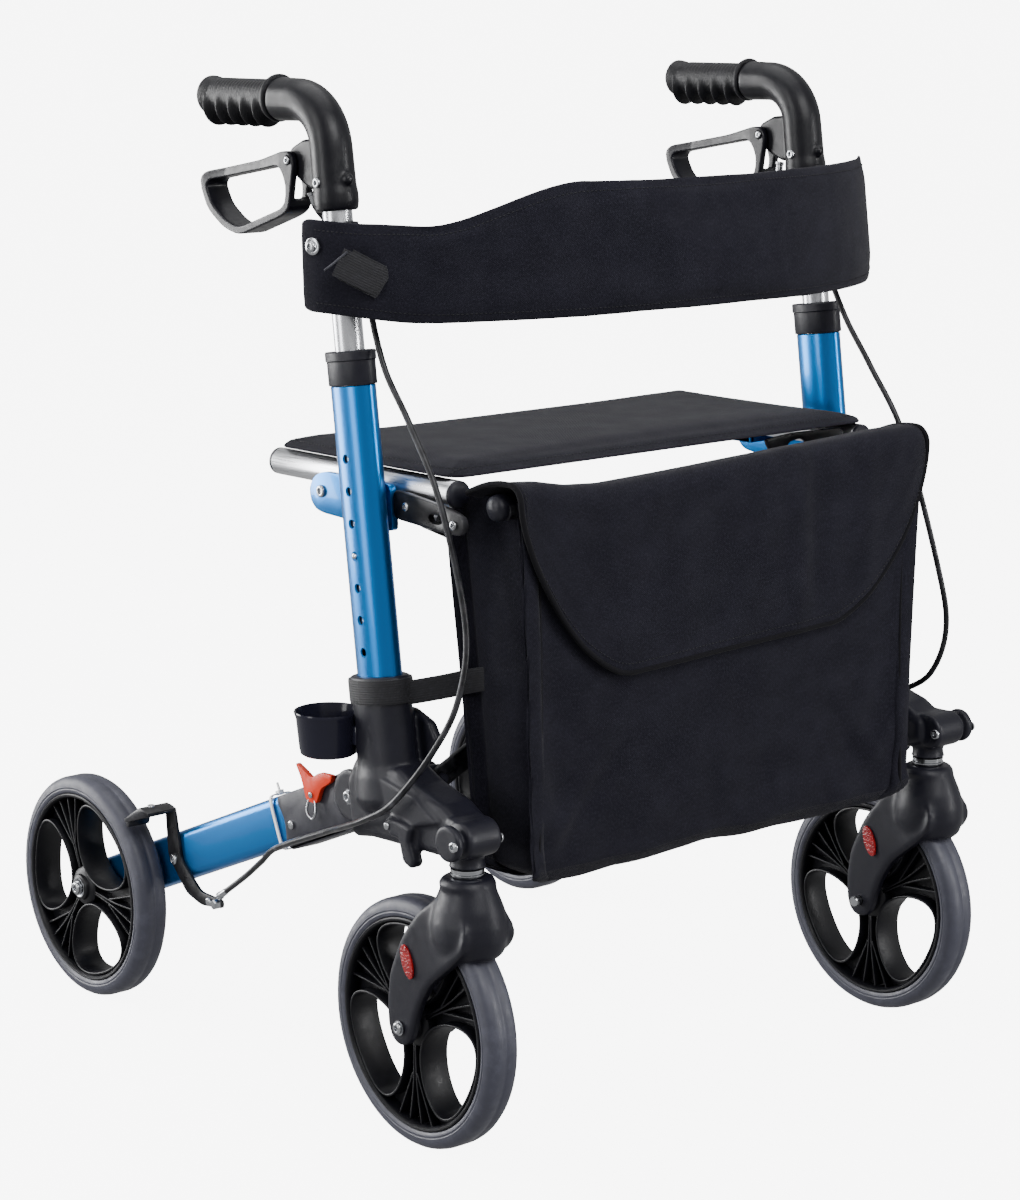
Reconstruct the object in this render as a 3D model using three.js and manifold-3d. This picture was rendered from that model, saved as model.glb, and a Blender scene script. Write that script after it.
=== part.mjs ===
// Folding rollator walker, in millimetres. z is up from the floor, y points backwards to the
// person who walks behind it, and x points to that person's left. The origin is on the floor
// below the middle of the walker. Side pieces are drawn for the left side and mirrored.
import * as THREE from 'three';
import { mergeVertices } from 'three/addons/utils/BufferGeometryUtils.js';
import Module from 'manifold-3d';

const wasm = await Module();
wasm.setup();

// ---- driving dimensions ----
const GAP = 0.3;                                    // left between pieces that touch

const MAST = { x: 253, y: -210.3, z: 250, lean: 7 * Math.PI / 180 };
const TUBE = { halfWidth: 14, halfDepth: 22.5, wall: 1.7, from: 40, to: 343.4 };
const SOCKET = { wall: 5, top: 116 };
const COLLAR = { halfWidth: 15.3, halfDepth: 24, to: 370 };
const POST = { radius: 11.5, wall: 1.5, from: 150, to: 520 };
const ADJUSTER = { holes: 7, pitch: 25, first: 137.5, radius: 3.2 };

const HANDLE = { bottom: 723, height: 806, bend: 40, radius: 17, gripFrom: -82, gripTo: 15 };
const GRIP = { radius: 16, flange: 19.5, endFlare: 18 };
const LEVER = { y: -104, z: 760, width: 22, pin: 3 };

const WHEEL = {
  radius: 100, width: 30, rim: 85, hub: 15, webWidth: 22, hubWidth: 33, bore: 4.3, sides: 32,
};
const OPENING = { centre: 50, halfHeight: 26, halfWidth: 39, count: 3, sides: 12 };   // in the rims
const RIM_FACING = { rear: 8, front: 90 };   // the first opening, degrees up from the rear
const REAR_AXLE = { x: 249, y: 239, z: WHEEL.radius };
const CASTER = { x: 255, y: -304, trail: 55, neckTop: 230, ringTop: 236.7, housingTop: 284 };
const FORK = { halfWidth: 26, tyreClear: 18, sweepRadius: 104, crownStretch: 1.34 };

const REFLECTOR = { y: 44, z: 160 };

const HINGE = { x: 222, y: -138, z: 256, lobe: 23, bolt: 5 };
const LEG = { width: 20, depth: 43, wall: 2, corner: 6, from: 18, tail: 16 };
const SLEEVE = { plate: 3, length: 112, web: 4 };
const LATCH = { from: 236, to: 240.3 };
const CHEEK = { from: LEG.width / 2 + SLEEVE.plate + 2 * GAP, plate: 6 };
const LEG_LENGTH = Math.hypot(REAR_AXLE.y - HINGE.y, REAR_AXLE.z - HINGE.z);
const LEG_SLOPE = Math.atan2(REAR_AXLE.z - HINGE.z, REAR_AXLE.y - HINGE.y);

const BRACE = { x: 219, low: 285, high: 490, half: 9, plate: 5, pin: 4 };
const BRACE_LUG = { y: -221, plate: 5 };
const BRACE_LENGTH = Math.hypot(2 * BRACE.x, BRACE.high - BRACE.low);
const BRACE_SLOPE = Math.atan2(BRACE.high - BRACE.low, 2 * BRACE.x);
const BRACE_OFFSET = (BRACE_LUG.plate + BRACE.plate) / 2 + 0.4;

const RAIL = { x: 219, z: 512, radius: 11, wall: 2, front: -252, rear: -24 };
const SEAT = { halfWidth: 227, front: -258, rear: -22, thick: 11.7 };
const BRACKET = { from: 232.7, to: 238.7 };

const BACKREST = { low: 641, high: 746, thick: 12, endLow: 650, endHigh: 720, taper: 110 };
const BAG = { halfWidth: 203, rear: -233.5, front: -325, low: 228, high: 520, wall: 4 };
const FLAP = { halfWidth: 220, rear: -264, front: -331, low: 375, high: 531, thick: 4, corner: 105 };
const CANE_CUP = { x: 275, y: -157, low: 300.5, high: 336, radius: 27, foot: 22.5, wall: 2 };
const CABLE_RADIUS = 2.5;

const PAD_ARM = { x: 232.3, plate: 3, y: 128, z: 144.7, padReach: 262 };

// ---- materials ----
function material(color, roughness, metalness) {
  return () => new THREE.MeshStandardMaterial({ color, roughness, metalness });
}
const bluePaint = material(0x0a6fc0, 0.28, 0.75);
const silver = material(0xc9ccd2, 0.25, 0.95);
const darkPlastic = material(0x2b2a33, 0.5, 0.05);
const blackPaint = material(0x17171b, 0.4, 0.3);
const softGrip = material(0x1d1c22, 0.7, 0);
const tyreGrey = material(0x46454f, 0.5, 0);
const chrome = material(0xd8dade, 0.15, 1);
const cableBlack = material(0x18181c, 0.45, 0);
const fabric = material(0x26252e, 0.9, 0);
const latchRed = material(0xe8502a, 0.4, 0);
const reflectorRed = material(0xa01018, 0.2, 0);

// ---- solids ----
// Merges the corners, drops slivers and turns the faces outwards.
function closed(geometry) {
  const bare = geometry.clone();
  bare.deleteAttribute('normal');
  bare.deleteAttribute('uv');
  const merged = mergeVertices(bare, 1e-3);
  const corner = (i) => new THREE.Vector3().fromBufferAttribute(merged.attributes.position, i);
  const index = merged.index.array;
  const kept = [];
  let volume = 0;
  for (let i = 0; i < index.length; i += 3) {
    const [a, b, c] = index.slice(i, i + 3);
    if (a === b || b === c || c === a) continue;
    kept.push([a, b, c]);
    volume += corner(a).dot(corner(b).cross(corner(c)));
  }
  const facing = volume > 0 ? kept : kept.map(([a, b, c]) => [a, c, b]);
  const solid = new THREE.BufferGeometry();
  solid.setAttribute('position', merged.attributes.position);
  solid.setIndex(facing.flat());
  return solid;
}

function manifold(geometry) {
  const { attributes, index } = closed(geometry);
  return new wasm.Manifold(new wasm.Mesh({
    numProp: 3,
    vertProperties: new Float32Array(attributes.position.array),
    triVerts: new Uint32Array(index.array),
  }));
}

function geometryOf(solid) {
  const { vertProperties, triVerts } = solid.getMesh();
  const geometry = new THREE.BufferGeometry();
  geometry.setAttribute('position', new THREE.BufferAttribute(vertProperties, 3));
  geometry.setIndex([...triVerts]);
  return geometry;
}

function join(...geometries) {
  return geometryOf(geometries.map(manifold).reduce((sum, next) => sum.add(next)));
}

function cut(geometry, ...tools) {
  return geometryOf(tools.map(manifold).reduce((rest, tool) => rest.subtract(tool), manifold(geometry)));
}

// ---- shapes ----
function polygon(points) {
  const places = points.map(([a, b]) => new THREE.Vector2(a, b));
  return new THREE.Shape(THREE.ShapeUtils.isClockWise(places) ? places.reverse() : places);
}

function ellipse(halfA, halfB, sides = 20) {
  const turn = (i) => 2 * Math.PI * i / sides;
  const point = (_, i) => [halfA * Math.cos(turn(i)), halfB * Math.sin(turn(i))];
  return polygon(Array.from({ length: sides }, point));
}

function roundedBox(halfA, halfB, corner, steps = 2) {
  const points = [];
  for (let quarter = 0; quarter < 4; quarter += 1) {
    const signA = quarter === 0 || quarter === 3 ? 1 : -1;
    const signB = quarter < 2 ? 1 : -1;
    for (let step = 0; step <= steps; step += 1) {
      const angle = (quarter + step / steps) * Math.PI / 2;
      const a = signA * (halfA - corner) + corner * Math.cos(angle);
      const b = signB * (halfB - corner) + corner * Math.sin(angle);
      points.push([a, b]);
    }
  }
  return polygon(points);
}

function withHole(outer, inner) {
  outer.holes.push(inner);
  return outer;
}

// A column on z, from one height to the next.
function column(shape, from, to) {
  const options = { depth: to - from, bevelEnabled: false };
  return new THREE.ExtrudeGeometry(shape, options).translate(0, 0, from);
}

// A plate whose outline is given in (y, z), between two distances from the middle plane.
function sidePlate(outline, from, to) {
  const shape = Array.isArray(outline) ? polygon(outline) : outline;
  const turn = new THREE.Matrix4().makeBasis(
    new THREE.Vector3(0, 1, 0), new THREE.Vector3(0, 0, 1), new THREE.Vector3(1, 0, 0));
  return column(shape, from, to).applyMatrix4(turn);
}

// A plate whose outline is given in (x, z), between two depths.
function facePlate(outline, from, to) {
  const shape = Array.isArray(outline) ? polygon(outline) : outline;
  return column(shape, -to, -from).rotateX(Math.PI / 2);
}

function rod(radius, from, to, sides = 12) {
  return column(ellipse(radius, radius, sides), from, to);
}

const crosswise = (geometry) => geometry.rotateY(Math.PI / 2);    // z axis becomes x
const lengthwise = (geometry) => geometry.rotateX(-Math.PI / 2);  // z axis becomes y

// A turned piece about z: each point is [radius, height].
function turned(profile, segments = 16) {
  const points = profile.map(([radius, height]) => new THREE.Vector2(radius, height));
  return new THREE.LatheGeometry(points, segments).rotateX(Math.PI / 2);
}

function swept(points, radius, sides, steps) {
  const places = points.map(([x, y, z]) => new THREE.Vector3(x, y, z));
  const path = new THREE.CatmullRomCurve3(places, false, 'centripetal');
  const options = { steps, bevelEnabled: false, extrudePath: path };
  return new THREE.ExtrudeGeometry(ellipse(radius, radius, sides), options);
}

function disc(y, z, radius, sides = 14) {
  const point = (_, i) => {
    const turn = 2 * Math.PI * i / sides;
    return [y + radius * Math.cos(turn), z + radius * Math.sin(turn)];
  };
  return Array.from({ length: sides }, point);
}

const onMast = (geometry) => geometry.rotateX(-MAST.lean).translate(MAST.x, MAST.y, MAST.z);
const mastY = (z) => MAST.y + (z - MAST.z) * Math.tan(MAST.lean);

// ---- side frame ----
function sideCasting() {
  const arm = sidePlate([
    [-178, 284], [-182, 302], [-236, 302], [-256, 293], [-300, CASTER.housingTop],
    [-300, 237], [-286, 237], [-270, 237], [-250, 241], [-200, 240], [-178, 236],
  ], 236, 270);
  const housing = rod(27, 237, CASTER.housingTop, 18).translate(CASTER.x, CASTER.y, 0);
  const foot = onMast(column(ellipse(21, 32), 18, 46));
  const outerHalf = [TUBE.halfWidth + SOCKET.wall + GAP, TUBE.halfDepth + SOCKET.wall + GAP];
  const socket = onMast(column(ellipse(...outerHalf), 40, SOCKET.top));
  const cheekOutline = [
    [-176, 292], [-176, 236], [HINGE.y - 6, HINGE.z - 22], [HINGE.y + 8, HINGE.z - 21.5],
    [HINGE.y + 19, HINGE.z - 13], [HINGE.y + HINGE.lobe, HINGE.z], [HINGE.y + 19, HINGE.z + 13],
    [HINGE.y + 8, HINGE.z + 21.5], [HINGE.y - 6, HINGE.z + 22], [-158, 284],
  ];
  const cheekTo = CHEEK.from + CHEEK.plate;
  const outerCheek = sidePlate(cheekOutline, HINGE.x + CHEEK.from, HINGE.x + cheekTo);
  const innerCheek = sidePlate(cheekOutline, HINGE.x - cheekTo, HINGE.x - CHEEK.from);
  const bridge = sidePlate([[-168, 236], [-168, 292], [-205, 292], [-205, 241]],
    HINGE.x - cheekTo, HINGE.x + cheekTo);
  const lugOutline = [
    [BRACE.x - 9, BRACE.low - 9], [BRACE.x + 24, BRACE.low - 12], [BRACE.x + 24, BRACE.low + 12],
    [BRACE.x - 9, BRACE.low + 9], [BRACE.x - 13, BRACE.low],
  ];
  const lugFrom = BRACE_LUG.y - BRACE_LUG.plate / 2;
  const braceLug = facePlate(lugOutline, lugFrom, lugFrom + BRACE_LUG.plate);
  const pinReach = BRACE_OFFSET + BRACE.plate / 2 + 2;
  const bracePin = lengthwise(rod(BRACE.pin, -pinReach, pinReach, 10))
    .translate(BRACE.x, BRACE_LUG.y, BRACE.low);
  const strapHook = sidePlate(
    [[-205, 340], [-215, 340], [-234, 334], [-243, 321], [-229, 300], [-205, 303]], 229, 237);
  const kerbHook = sidePlate(
    [[-231, 262], [-263, 262], [-268, 236], [-262, 229], [-250, 234], [-236, 246]], 266, 277);
  const body = join(arm, housing, foot, socket, outerCheek, innerCheek, bridge, braceLug,
    bracePin, strapHook, kerbHook);

  const bore = [TUBE.halfWidth + GAP, TUBE.halfDepth + GAP];
  const tubeBore = onMast(column(ellipse(...bore), TUBE.from - GAP, SOCKET.top + 10));
  const stemBore = rod(8 + GAP, 230, 272).translate(CASTER.x, CASTER.y, 0);
  const boltBore = crosswise(rod(HINGE.bolt + GAP, 190, 270)).translate(0, HINGE.y, HINGE.z);
  return cut(body, tubeBore, stemBore, boltBore);
}

function uprightTube() {
  const inner = ellipse(TUBE.halfWidth - TUBE.wall, TUBE.halfDepth - TUBE.wall);
  const ring = withHole(ellipse(TUBE.halfWidth, TUBE.halfDepth), inner);
  const tube = column(ring, TUBE.from, TUBE.to);
  const holes = Array.from({ length: ADJUSTER.holes }, (_, i) => (
    crosswise(rod(ADJUSTER.radius, 5, 30, 8)).translate(0, 0, ADJUSTER.first + i * ADJUSTER.pitch)));
  return cut(tube, ...holes);
}

function uprightCollar() {
  const block = column(ellipse(COLLAR.halfWidth, COLLAR.halfDepth), TUBE.to + GAP, COLLAR.to);
  return cut(block, rod(POST.radius + GAP, TUBE.to - 5, COLLAR.to + 5, 20));
}

function postTube() {
  const bore = ellipse(POST.radius - POST.wall, POST.radius - POST.wall);
  return column(withHole(ellipse(POST.radius, POST.radius), bore), POST.from, POST.to);
}

function railBracket() {
  const bar = sidePlate([
    [-197, 478], [-194, 515], [-107, 515], [-95, 510], [-88.5, 500], [-90, 490], [-97, 483.5],
    [-108, 481.5], [-122, 481],
  ], BRACKET.from, BRACKET.to);
  const saddle = sidePlate([[-130, 494], [-96, 494], [-96, 500.6], [-130, 500.6]], 209, 235);
  return join(bar, saddle);
}

function bagBar() {
  return sidePlate([[-197.5, 489], [-197.5, 512], [-262, 505], [-283, 500], [-283, 486], [-262, 485]],
    BRACKET.from, BRACKET.to);
}

// ---- handle and brake lever ----
function handleElbow() {
  const turn = Math.PI / 2 - MAST.lean;
  const straight = HANDLE.bend * Math.tan(turn / 2);
  const cornerY = mastY(HANDLE.height);
  const centre = { y: cornerY + straight, z: HANDLE.height - HANDLE.bend };
  const path = [[MAST.x, mastY(HANDLE.bottom), HANDLE.bottom]];
  const bendSteps = 4;
  for (let step = 0; step <= bendSteps; step += 1) {
    const angle = Math.PI / 2 + turn * (1 - step / bendSteps);
    path.push([MAST.x, centre.y + HANDLE.bend * Math.cos(angle), centre.z + HANDLE.bend * Math.sin(angle)]);
  }
  path.push([MAST.x, HANDLE.gripFrom - GAP, HANDLE.height]);
  const elbow = swept(path, HANDLE.radius, 14, 9);
  const lug = sidePlate([
    [-148, 738], [-148, 778], [-114, 775], [-99, 769], [-95, 760], [-99, 751], [-112, 743], [-125, 738],
  ], MAST.x - 5, MAST.x + 5);
  const pin = crosswise(rod(LEVER.pin, MAST.x - 11, MAST.x + 11, 12)).translate(0, LEVER.y, LEVER.z);
  const bore = onMast(rod(POST.radius + GAP, 460, POST.to + 2, 20));
  return cut(join(elbow, lug, pin), bore);
}

function grip() {
  const length = HANDLE.gripTo - HANDLE.gripFrom;
  return lengthwise(turned([
    [0, 0], [GRIP.flange, 0], [GRIP.flange, 4], [GRIP.radius, 7], [GRIP.radius, length - 22],
    [GRIP.endFlare, length - 14], [GRIP.endFlare - 3, length - 4], [9, length], [0, length],
  ])).translate(MAST.x, HANDLE.gripFrom, HANDLE.height);
}

function brakeLever() {
  const outer = [
    [-106, 767], [-96, 767], [-60, 758.5], [10, 747], [17, 742], [16, 733], [8, 717], [-14, 703],
    [-32, 699], [-42, 700], [-93, 716], [-104, 722], [-107, 738], [-111, 757],
  ];
  const inner = [
    [-92, 757], [-60, 751.5], [5, 740.5], [9, 736], [2, 722], [-17, 709.5], [-32, 705.5],
    [-41, 706.5], [-91, 722], [-98, 727], [-100, 740],
  ];
  const half = LEVER.width / 2;
  const loop = sidePlate(withHole(polygon(outer), polygon(inner)), MAST.x - half, MAST.x + half);
  const slot = sidePlate([[-122, 732], [-80, 732], [-80, 780], [-122, 780]],
    MAST.x - 5 - GAP, MAST.x + 5 + GAP);
  const bore = crosswise(rod(LEVER.pin + GAP, MAST.x - 20, MAST.x + 20, 12))
    .translate(0, LEVER.y, LEVER.z);
  return cut(loop, slot, bore);
}

// ---- rear leg, drawn along y from the hinge ----
function rearLeg() {
  const outer = roundedBox(LEG.width / 2, LEG.depth / 2, LEG.corner);
  const inner = roundedBox(LEG.width / 2 - LEG.wall, LEG.depth / 2 - LEG.wall, LEG.corner - LEG.wall);
  const tube = lengthwise(column(withHole(outer, inner), LEG.from, LEG_LENGTH + LEG.tail));
  return cut(tube, crosswise(rod(HINGE.bolt + GAP, -20, 20)).translate(0, LEG_LENGTH, 0));
}

function legSleeve() {
  const inside = LEG.width / 2 + GAP;
  const outside = inside + SLEEVE.plate;
  const under = -LEG.depth / 2 - GAP;
  const end = SLEEVE.length;
  const side = [
    [-22, 0], [-15.5, -15.5], [0, -22], [24, under - SLEEVE.web], [end - 4, under - SLEEVE.web],
    [end, under + 3], [end - 5, 0], [end, 16], [end - 4, 20], [40, 20], [14, 21], [0, 22],
    [-15.5, 15.5],
  ];
  const web = [[24, under - SLEEVE.web], [end - 4, under - SLEEVE.web], [end - 4, under], [24, under]];
  const body = join(
    sidePlate(side, inside, outside),
    sidePlate(side, -outside, -inside),
    sidePlate(disc(0, 0, 17), -outside, outside),
    sidePlate(web, -outside, outside));
  return cut(body, crosswise(rod(HINGE.bolt + GAP, -30, 30)));
}

// A bolt through x with a round head at each end.
function crossBolt(shank, from, to, head, headHeight, sides = 10) {
  return crosswise(turned([
    [0, from], [head, from], [head, from + headHeight], [shank, from + headHeight],
    [shank, to - headHeight], [head, to - headHeight], [head, to], [0, to],
  ], sides));
}

function latchLever() {
  return sidePlate([
    [-66, 268], [-72, 259], [-79, 240], [-89.5, 239.5], [-95, 256], [-111, 262], [-112, 267],
    [-95, 265], [-84, 259], [-77, 262],
  ], LATCH.from, LATCH.to);
}

function padArm() {
  const arm = sidePlate([
    [127, 191], [141, 193.5], [137, 146], [110, 118], [88, 112], [57, 116], [57, 123], [90, 124],
    [118, 146],
  ], PAD_ARM.x, PAD_ARM.x + PAD_ARM.plate);
  const padPlate = sidePlate([[127, 187], [127, 191], [141, 193.5], [166.5, 177.5], [163.5, 172.5]],
    PAD_ARM.x, PAD_ARM.padReach);
  return join(arm, padPlate);
}

// ---- wheels, turned about x ----
function tyre() {
  const half = WHEEL.width / 2;
  const bead = WHEEL.rim + GAP;
  const tread = WHEEL.radius / Math.cos(Math.PI / WHEEL.sides);
  return crosswise(turned([
    [bead, -half], [tread - 9, -half], [tread, -half + 8], [tread, half - 8], [tread - 9, half],
    [bead, half], [bead, -half],
  ], WHEEL.sides)).rotateX(Math.PI / WHEEL.sides);
}

function rim(firstOpening) {
  const web = ellipse(WHEEL.rim, WHEEL.rim, WHEEL.sides);
  for (let opening = 0; opening < OPENING.count; opening += 1) {
    const quarterBack = 0.5 - 1 / WHEEL.sides;     // the disk is turned by these when it is placed
    const facing = Math.PI * (firstOpening / 180 + quarterBack + 2 * opening / OPENING.count);
    const outline = Array.from({ length: OPENING.sides }, (_, i) => {
      const turn = 2 * Math.PI * i / OPENING.sides;
      const radial = OPENING.centre + OPENING.halfHeight * Math.cos(turn);
      const sideways = OPENING.halfWidth * Math.sin(turn);
      return [
        radial * Math.cos(facing) - sideways * Math.sin(facing),
        radial * Math.sin(facing) + sideways * Math.cos(facing),
      ];
    });
    web.holes.push(polygon(outline));
  }
  const disk = column(web, -WHEEL.webWidth / 2, WHEEL.webWidth / 2);
  const hub = rod(WHEEL.hub, -WHEEL.hubWidth / 2, WHEEL.hubWidth / 2);
  const bore = rod(WHEEL.bore + 0.5, -30, 30);
  return crosswise(cut(join(disk, hub), bore)).rotateX(Math.PI / WHEEL.sides);
}

// ---- caster, drawn about its stem ----
function casterFork() {
  const axle = { y: CASTER.trail, z: WHEEL.radius };
  const outline = [
    [-8, 180], [-12, 216], [14, 222], [38, 209], [58, 182], [70, 150], [71, 104], [66, 90], [55, 85],
    [44, 89], [39, 104], [31, 148], [12, 172],
  ];
  const legs = sidePlate(outline, -FORK.halfWidth, FORK.halfWidth);
  const crown = turned([
    [0, 176], [25, 176], [28, 190], [27, 206], [24, 217], [19, 223], [0, 223],
  ], 20).scale(1, FORK.crownStretch, 1);
  const neck = rod(20, 210, CASTER.neckTop, 18);
  const sweep = crosswise(rod(FORK.sweepRadius, -FORK.tyreClear, FORK.tyreClear, 36))
    .translate(0, axle.y, axle.z);
  const axleBore = crosswise(rod(WHEEL.bore, -40, 40)).translate(0, axle.y, axle.z);
  const stemBore = rod(6 + GAP, 196, 240);
  return cut(join(legs, crown, neck), sweep, axleBore, stemBore);
}

function casterStem() {
  return turned([
    [0, 196 + GAP], [6, 196 + GAP], [6, CASTER.neckTop + GAP], [13, CASTER.neckTop + GAP],
    [13, CASTER.ringTop], [8, CASTER.ringTop], [8, 271], [0, 271],
  ], 14);
}

function forkReflector() {
  const tilt = -0.22;
  const sides = 12;
  const outline = Array.from({ length: sides }, (_, i) => {
    const turn = 2 * Math.PI * i / sides;
    const [a, b] = [7.5 * Math.cos(turn), 14.5 * Math.sin(turn)];
    return [
      REFLECTOR.y + a * Math.cos(tilt) - b * Math.sin(tilt),
      REFLECTOR.z + a * Math.sin(tilt) + b * Math.cos(tilt),
    ];
  });
  return sidePlate(outline, FORK.halfWidth + GAP, FORK.halfWidth + 1.8);
}

// ---- seat, brace and soft goods ----
function seatRail() {
  const ring = withHole(ellipse(RAIL.radius, RAIL.radius, 16),
    ellipse(RAIL.radius - RAIL.wall, RAIL.radius - RAIL.wall, 16));
  const tube = lengthwise(column(ring, RAIL.front, RAIL.rear)).translate(RAIL.x, 0, RAIL.z);
  const lugFrom = BRACE_LUG.y - BRACE_LUG.plate / 2;
  const lug = facePlate([
    [RAIL.x - 9, BRACE.high], [RAIL.x - 5, BRACE.high - 8], [RAIL.x + 5, BRACE.high - 8],
    [RAIL.x + 9, BRACE.high], [RAIL.x + 8, 504.5], [RAIL.x - 8, 504.5],
  ], lugFrom, lugFrom + BRACE_LUG.plate);
  const pinReach = BRACE_OFFSET + BRACE.plate / 2 + 2;
  const pin = lengthwise(rod(BRACE.pin, -pinReach, pinReach, 10))
    .translate(RAIL.x, BRACE_LUG.y, BRACE.high);
  return join(tube, lug, pin);
}

// A flat bar from the low pin on one side to the high pin on the other; side is that of its foot.
function crossBar(side, y) {
  const half = BRACE_LENGTH / 2;
  const ends = [];
  for (let step = 0; step <= 6; step += 1) {
    const angle = -Math.PI / 2 + Math.PI * step / 6;
    ends.push([half + BRACE.half * Math.cos(angle), BRACE.half * Math.sin(angle)]);
  }
  const outline = [...ends, ...ends.map(([a, b]) => [-a, -b])];
  const bar = facePlate(outline, -BRACE.plate / 2, BRACE.plate / 2);
  const bores = [-half, 0, half].map((place) => (
    lengthwise(rod(BRACE.pin + GAP, -10, 10, 10)).translate(place, 0, 0)));
  const middle = (BRACE.low + BRACE.high) / 2;
  return cut(bar, ...bores).rotateY(side * BRACE_SLOPE).translate(0, y, middle);
}

function crossPivotBolt() {
  const reach = BRACE_OFFSET + BRACE.plate / 2 + GAP;
  const washer = BRACE_OFFSET - BRACE.plate / 2 - GAP;
  const middle = (BRACE.low + BRACE.high) / 2;
  return lengthwise(turned([
    [0, -reach - 4], [8, -reach - 4], [8, -reach], [BRACE.pin, -reach], [BRACE.pin, -washer],
    [9, -washer], [9, washer], [BRACE.pin, washer], [BRACE.pin, reach], [8, reach], [8, reach + 4],
    [0, reach + 4],
  ], 12)).translate(0, BRACE_LUG.y, middle);
}

function seatFabric() {
  const low = RAIL.z + RAIL.radius + GAP;
  return sidePlate([[SEAT.front, low], [SEAT.rear, low], [SEAT.rear, low + SEAT.thick],
    [SEAT.front, low + SEAT.thick]], -SEAT.halfWidth, SEAT.halfWidth);
}

// The back strap's middle line in plan, from its middle to the left end.
const BACKREST_LINE = [
  [0, -295], [60, -293], [115, -286], [165, -272], [210, -252], [248, -224], [274, -198], [288, -178],
  [292, -160],
];

function backrest() {
  const half = BACKREST_LINE.map(([x, y]) => new THREE.Vector2(x, y));
  const left = new THREE.SplineCurve(half).getPoints(12);
  const line = [...left.slice(1).reverse().map(({ x, y }) => new THREE.Vector2(-x, y)), ...left];
  const offset = (distance) => line.map((point, i) => {
    const before = line[Math.max(i - 1, 0)];
    const after = line[Math.min(i + 1, line.length - 1)];
    const along = after.clone().sub(before).normalize();
    return [point.x - along.y * distance, point.y + along.x * distance];
  });
  const outline = [...offset(-BACKREST.thick / 2), ...offset(BACKREST.thick / 2).reverse()];
  const strap = column(polygon(outline), BACKREST.low, BACKREST.high);
  const tapered = -MAST.x + BACKREST.taper;
  const aboveEnd = facePlate([
    [-320, BACKREST.endHigh], [-MAST.x, BACKREST.endHigh], [tapered, BACKREST.high],
    [-320, BACKREST.high + 10],
  ], -340, -100);
  const belowEnd = facePlate([
    [-320, BACKREST.endLow], [-MAST.x, BACKREST.endLow], [tapered, BACKREST.low],
    [-320, BACKREST.low - 10],
  ], -340, -100);
  const mirrored = (geometry) => geometry.clone().scale(-1, 1, 1);
  return cut(strap, aboveEnd, belowEnd, mirrored(aboveEnd), mirrored(belowEnd));
}

// A pouch, open at the top under the flap.
function bagBody() {
  const rearFoot = BAG.rear - 28;
  const outside = sidePlate([
    [BAG.rear, BAG.high], [rearFoot, BAG.low], [BAG.front, BAG.low], [BAG.front, BAG.high],
  ], -BAG.halfWidth, BAG.halfWidth);
  const inside = sidePlate([
    [BAG.rear - BAG.wall, BAG.high + 1], [rearFoot - BAG.wall, BAG.low + BAG.wall],
    [BAG.front + BAG.wall, BAG.low + BAG.wall], [BAG.front + BAG.wall, BAG.high + 1],
  ], BAG.wall - BAG.halfWidth, BAG.halfWidth - BAG.wall);
  return cut(outside, inside);
}

function bagFlap() {
  const wide = FLAP.halfWidth;
  const corner = [];
  const steps = 5;
  for (let step = 0; step <= steps; step += 1) {
    const angle = Math.PI / 2 * step / steps;
    corner.push([wide - FLAP.corner * (1 - Math.cos(angle)), FLAP.low + FLAP.corner * (1 - Math.sin(angle))]);
  }
  const otherCorner = corner.map(([x, z]) => [-x, z]).reverse();
  const front = facePlate([[wide, FLAP.high], ...corner, ...otherCorner, [-wide, FLAP.high]],
    FLAP.front, FLAP.front + FLAP.thick);
  const top = sidePlate([[FLAP.rear, FLAP.high - FLAP.thick], [FLAP.rear, FLAP.high],
    [FLAP.front, FLAP.high], [FLAP.front, FLAP.high - FLAP.thick]], -wide, wide);
  return join(front, top);
}

function caneCup() {
  const { radius, foot, wall, low, high } = CANE_CUP;
  const shell = turned([
    [0, low], [foot, low], [radius - 1, high - 4], [radius, high], [radius - wall, high],
    [radius - wall - 1, high - 4], [foot - wall, low + wall], [0, low + wall],
  ], 24).translate(CANE_CUP.x, CANE_CUP.y, 0);
  const seat = sidePlate([[-184, 312], [-184, 326], [-172, 326], [-172, 312]], 256, 270);
  const shape = ellipse(TUBE.halfWidth + SOCKET.wall + 3 * GAP, TUBE.halfDepth + SOCKET.wall + 3 * GAP);
  return cut(join(shell, seat), onMast(column(shape, 20, SOCKET.top + 20)));
}

// ---- brake cable, from the lever lug to the clip on the casting, and on to the pad arm ----
// The left cable bows further out than the right one.
const CABLE_UPPER = {
  l: [
    [253, -119, 736], [250, -121, 724], [240, -132, 706], [236, -155, 690], [238, -175, 668],
    [246, -183, 650], [250, -205, 606], [252, -233, 567], [257, -268, 510], [268, -299, 402],
    [276, -303, 346], [280, -282, 302], [280, -245, 279],
  ],
  r: [
    [253, -119, 736], [250, -121, 724], [240, -132, 706], [236, -155, 690], [238, -175, 668],
    [246, -183, 650], [250, -205, 606], [249, -233, 567], [248, -268, 510], [246, -294, 420],
    [258, -299, 366], [272, -284, 324], [280, -245, 279],
  ],
};
const CABLE_LOWER = [
  [280, -244, 278.2], [281, -210, 259], [273, -170, 243], [259, -129, 228], [244, -40, 193],
  [239, -9, 173], [236, 20, 153], [235.5, 60, 126.5],
];

// ---- assembly ----
const walker = new THREE.Group();

function mesh(name, geometry, makeMaterial) {
  const piece = new THREE.Mesh(closed(geometry), makeMaterial());
  piece.name = name;
  return piece;
}

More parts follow.
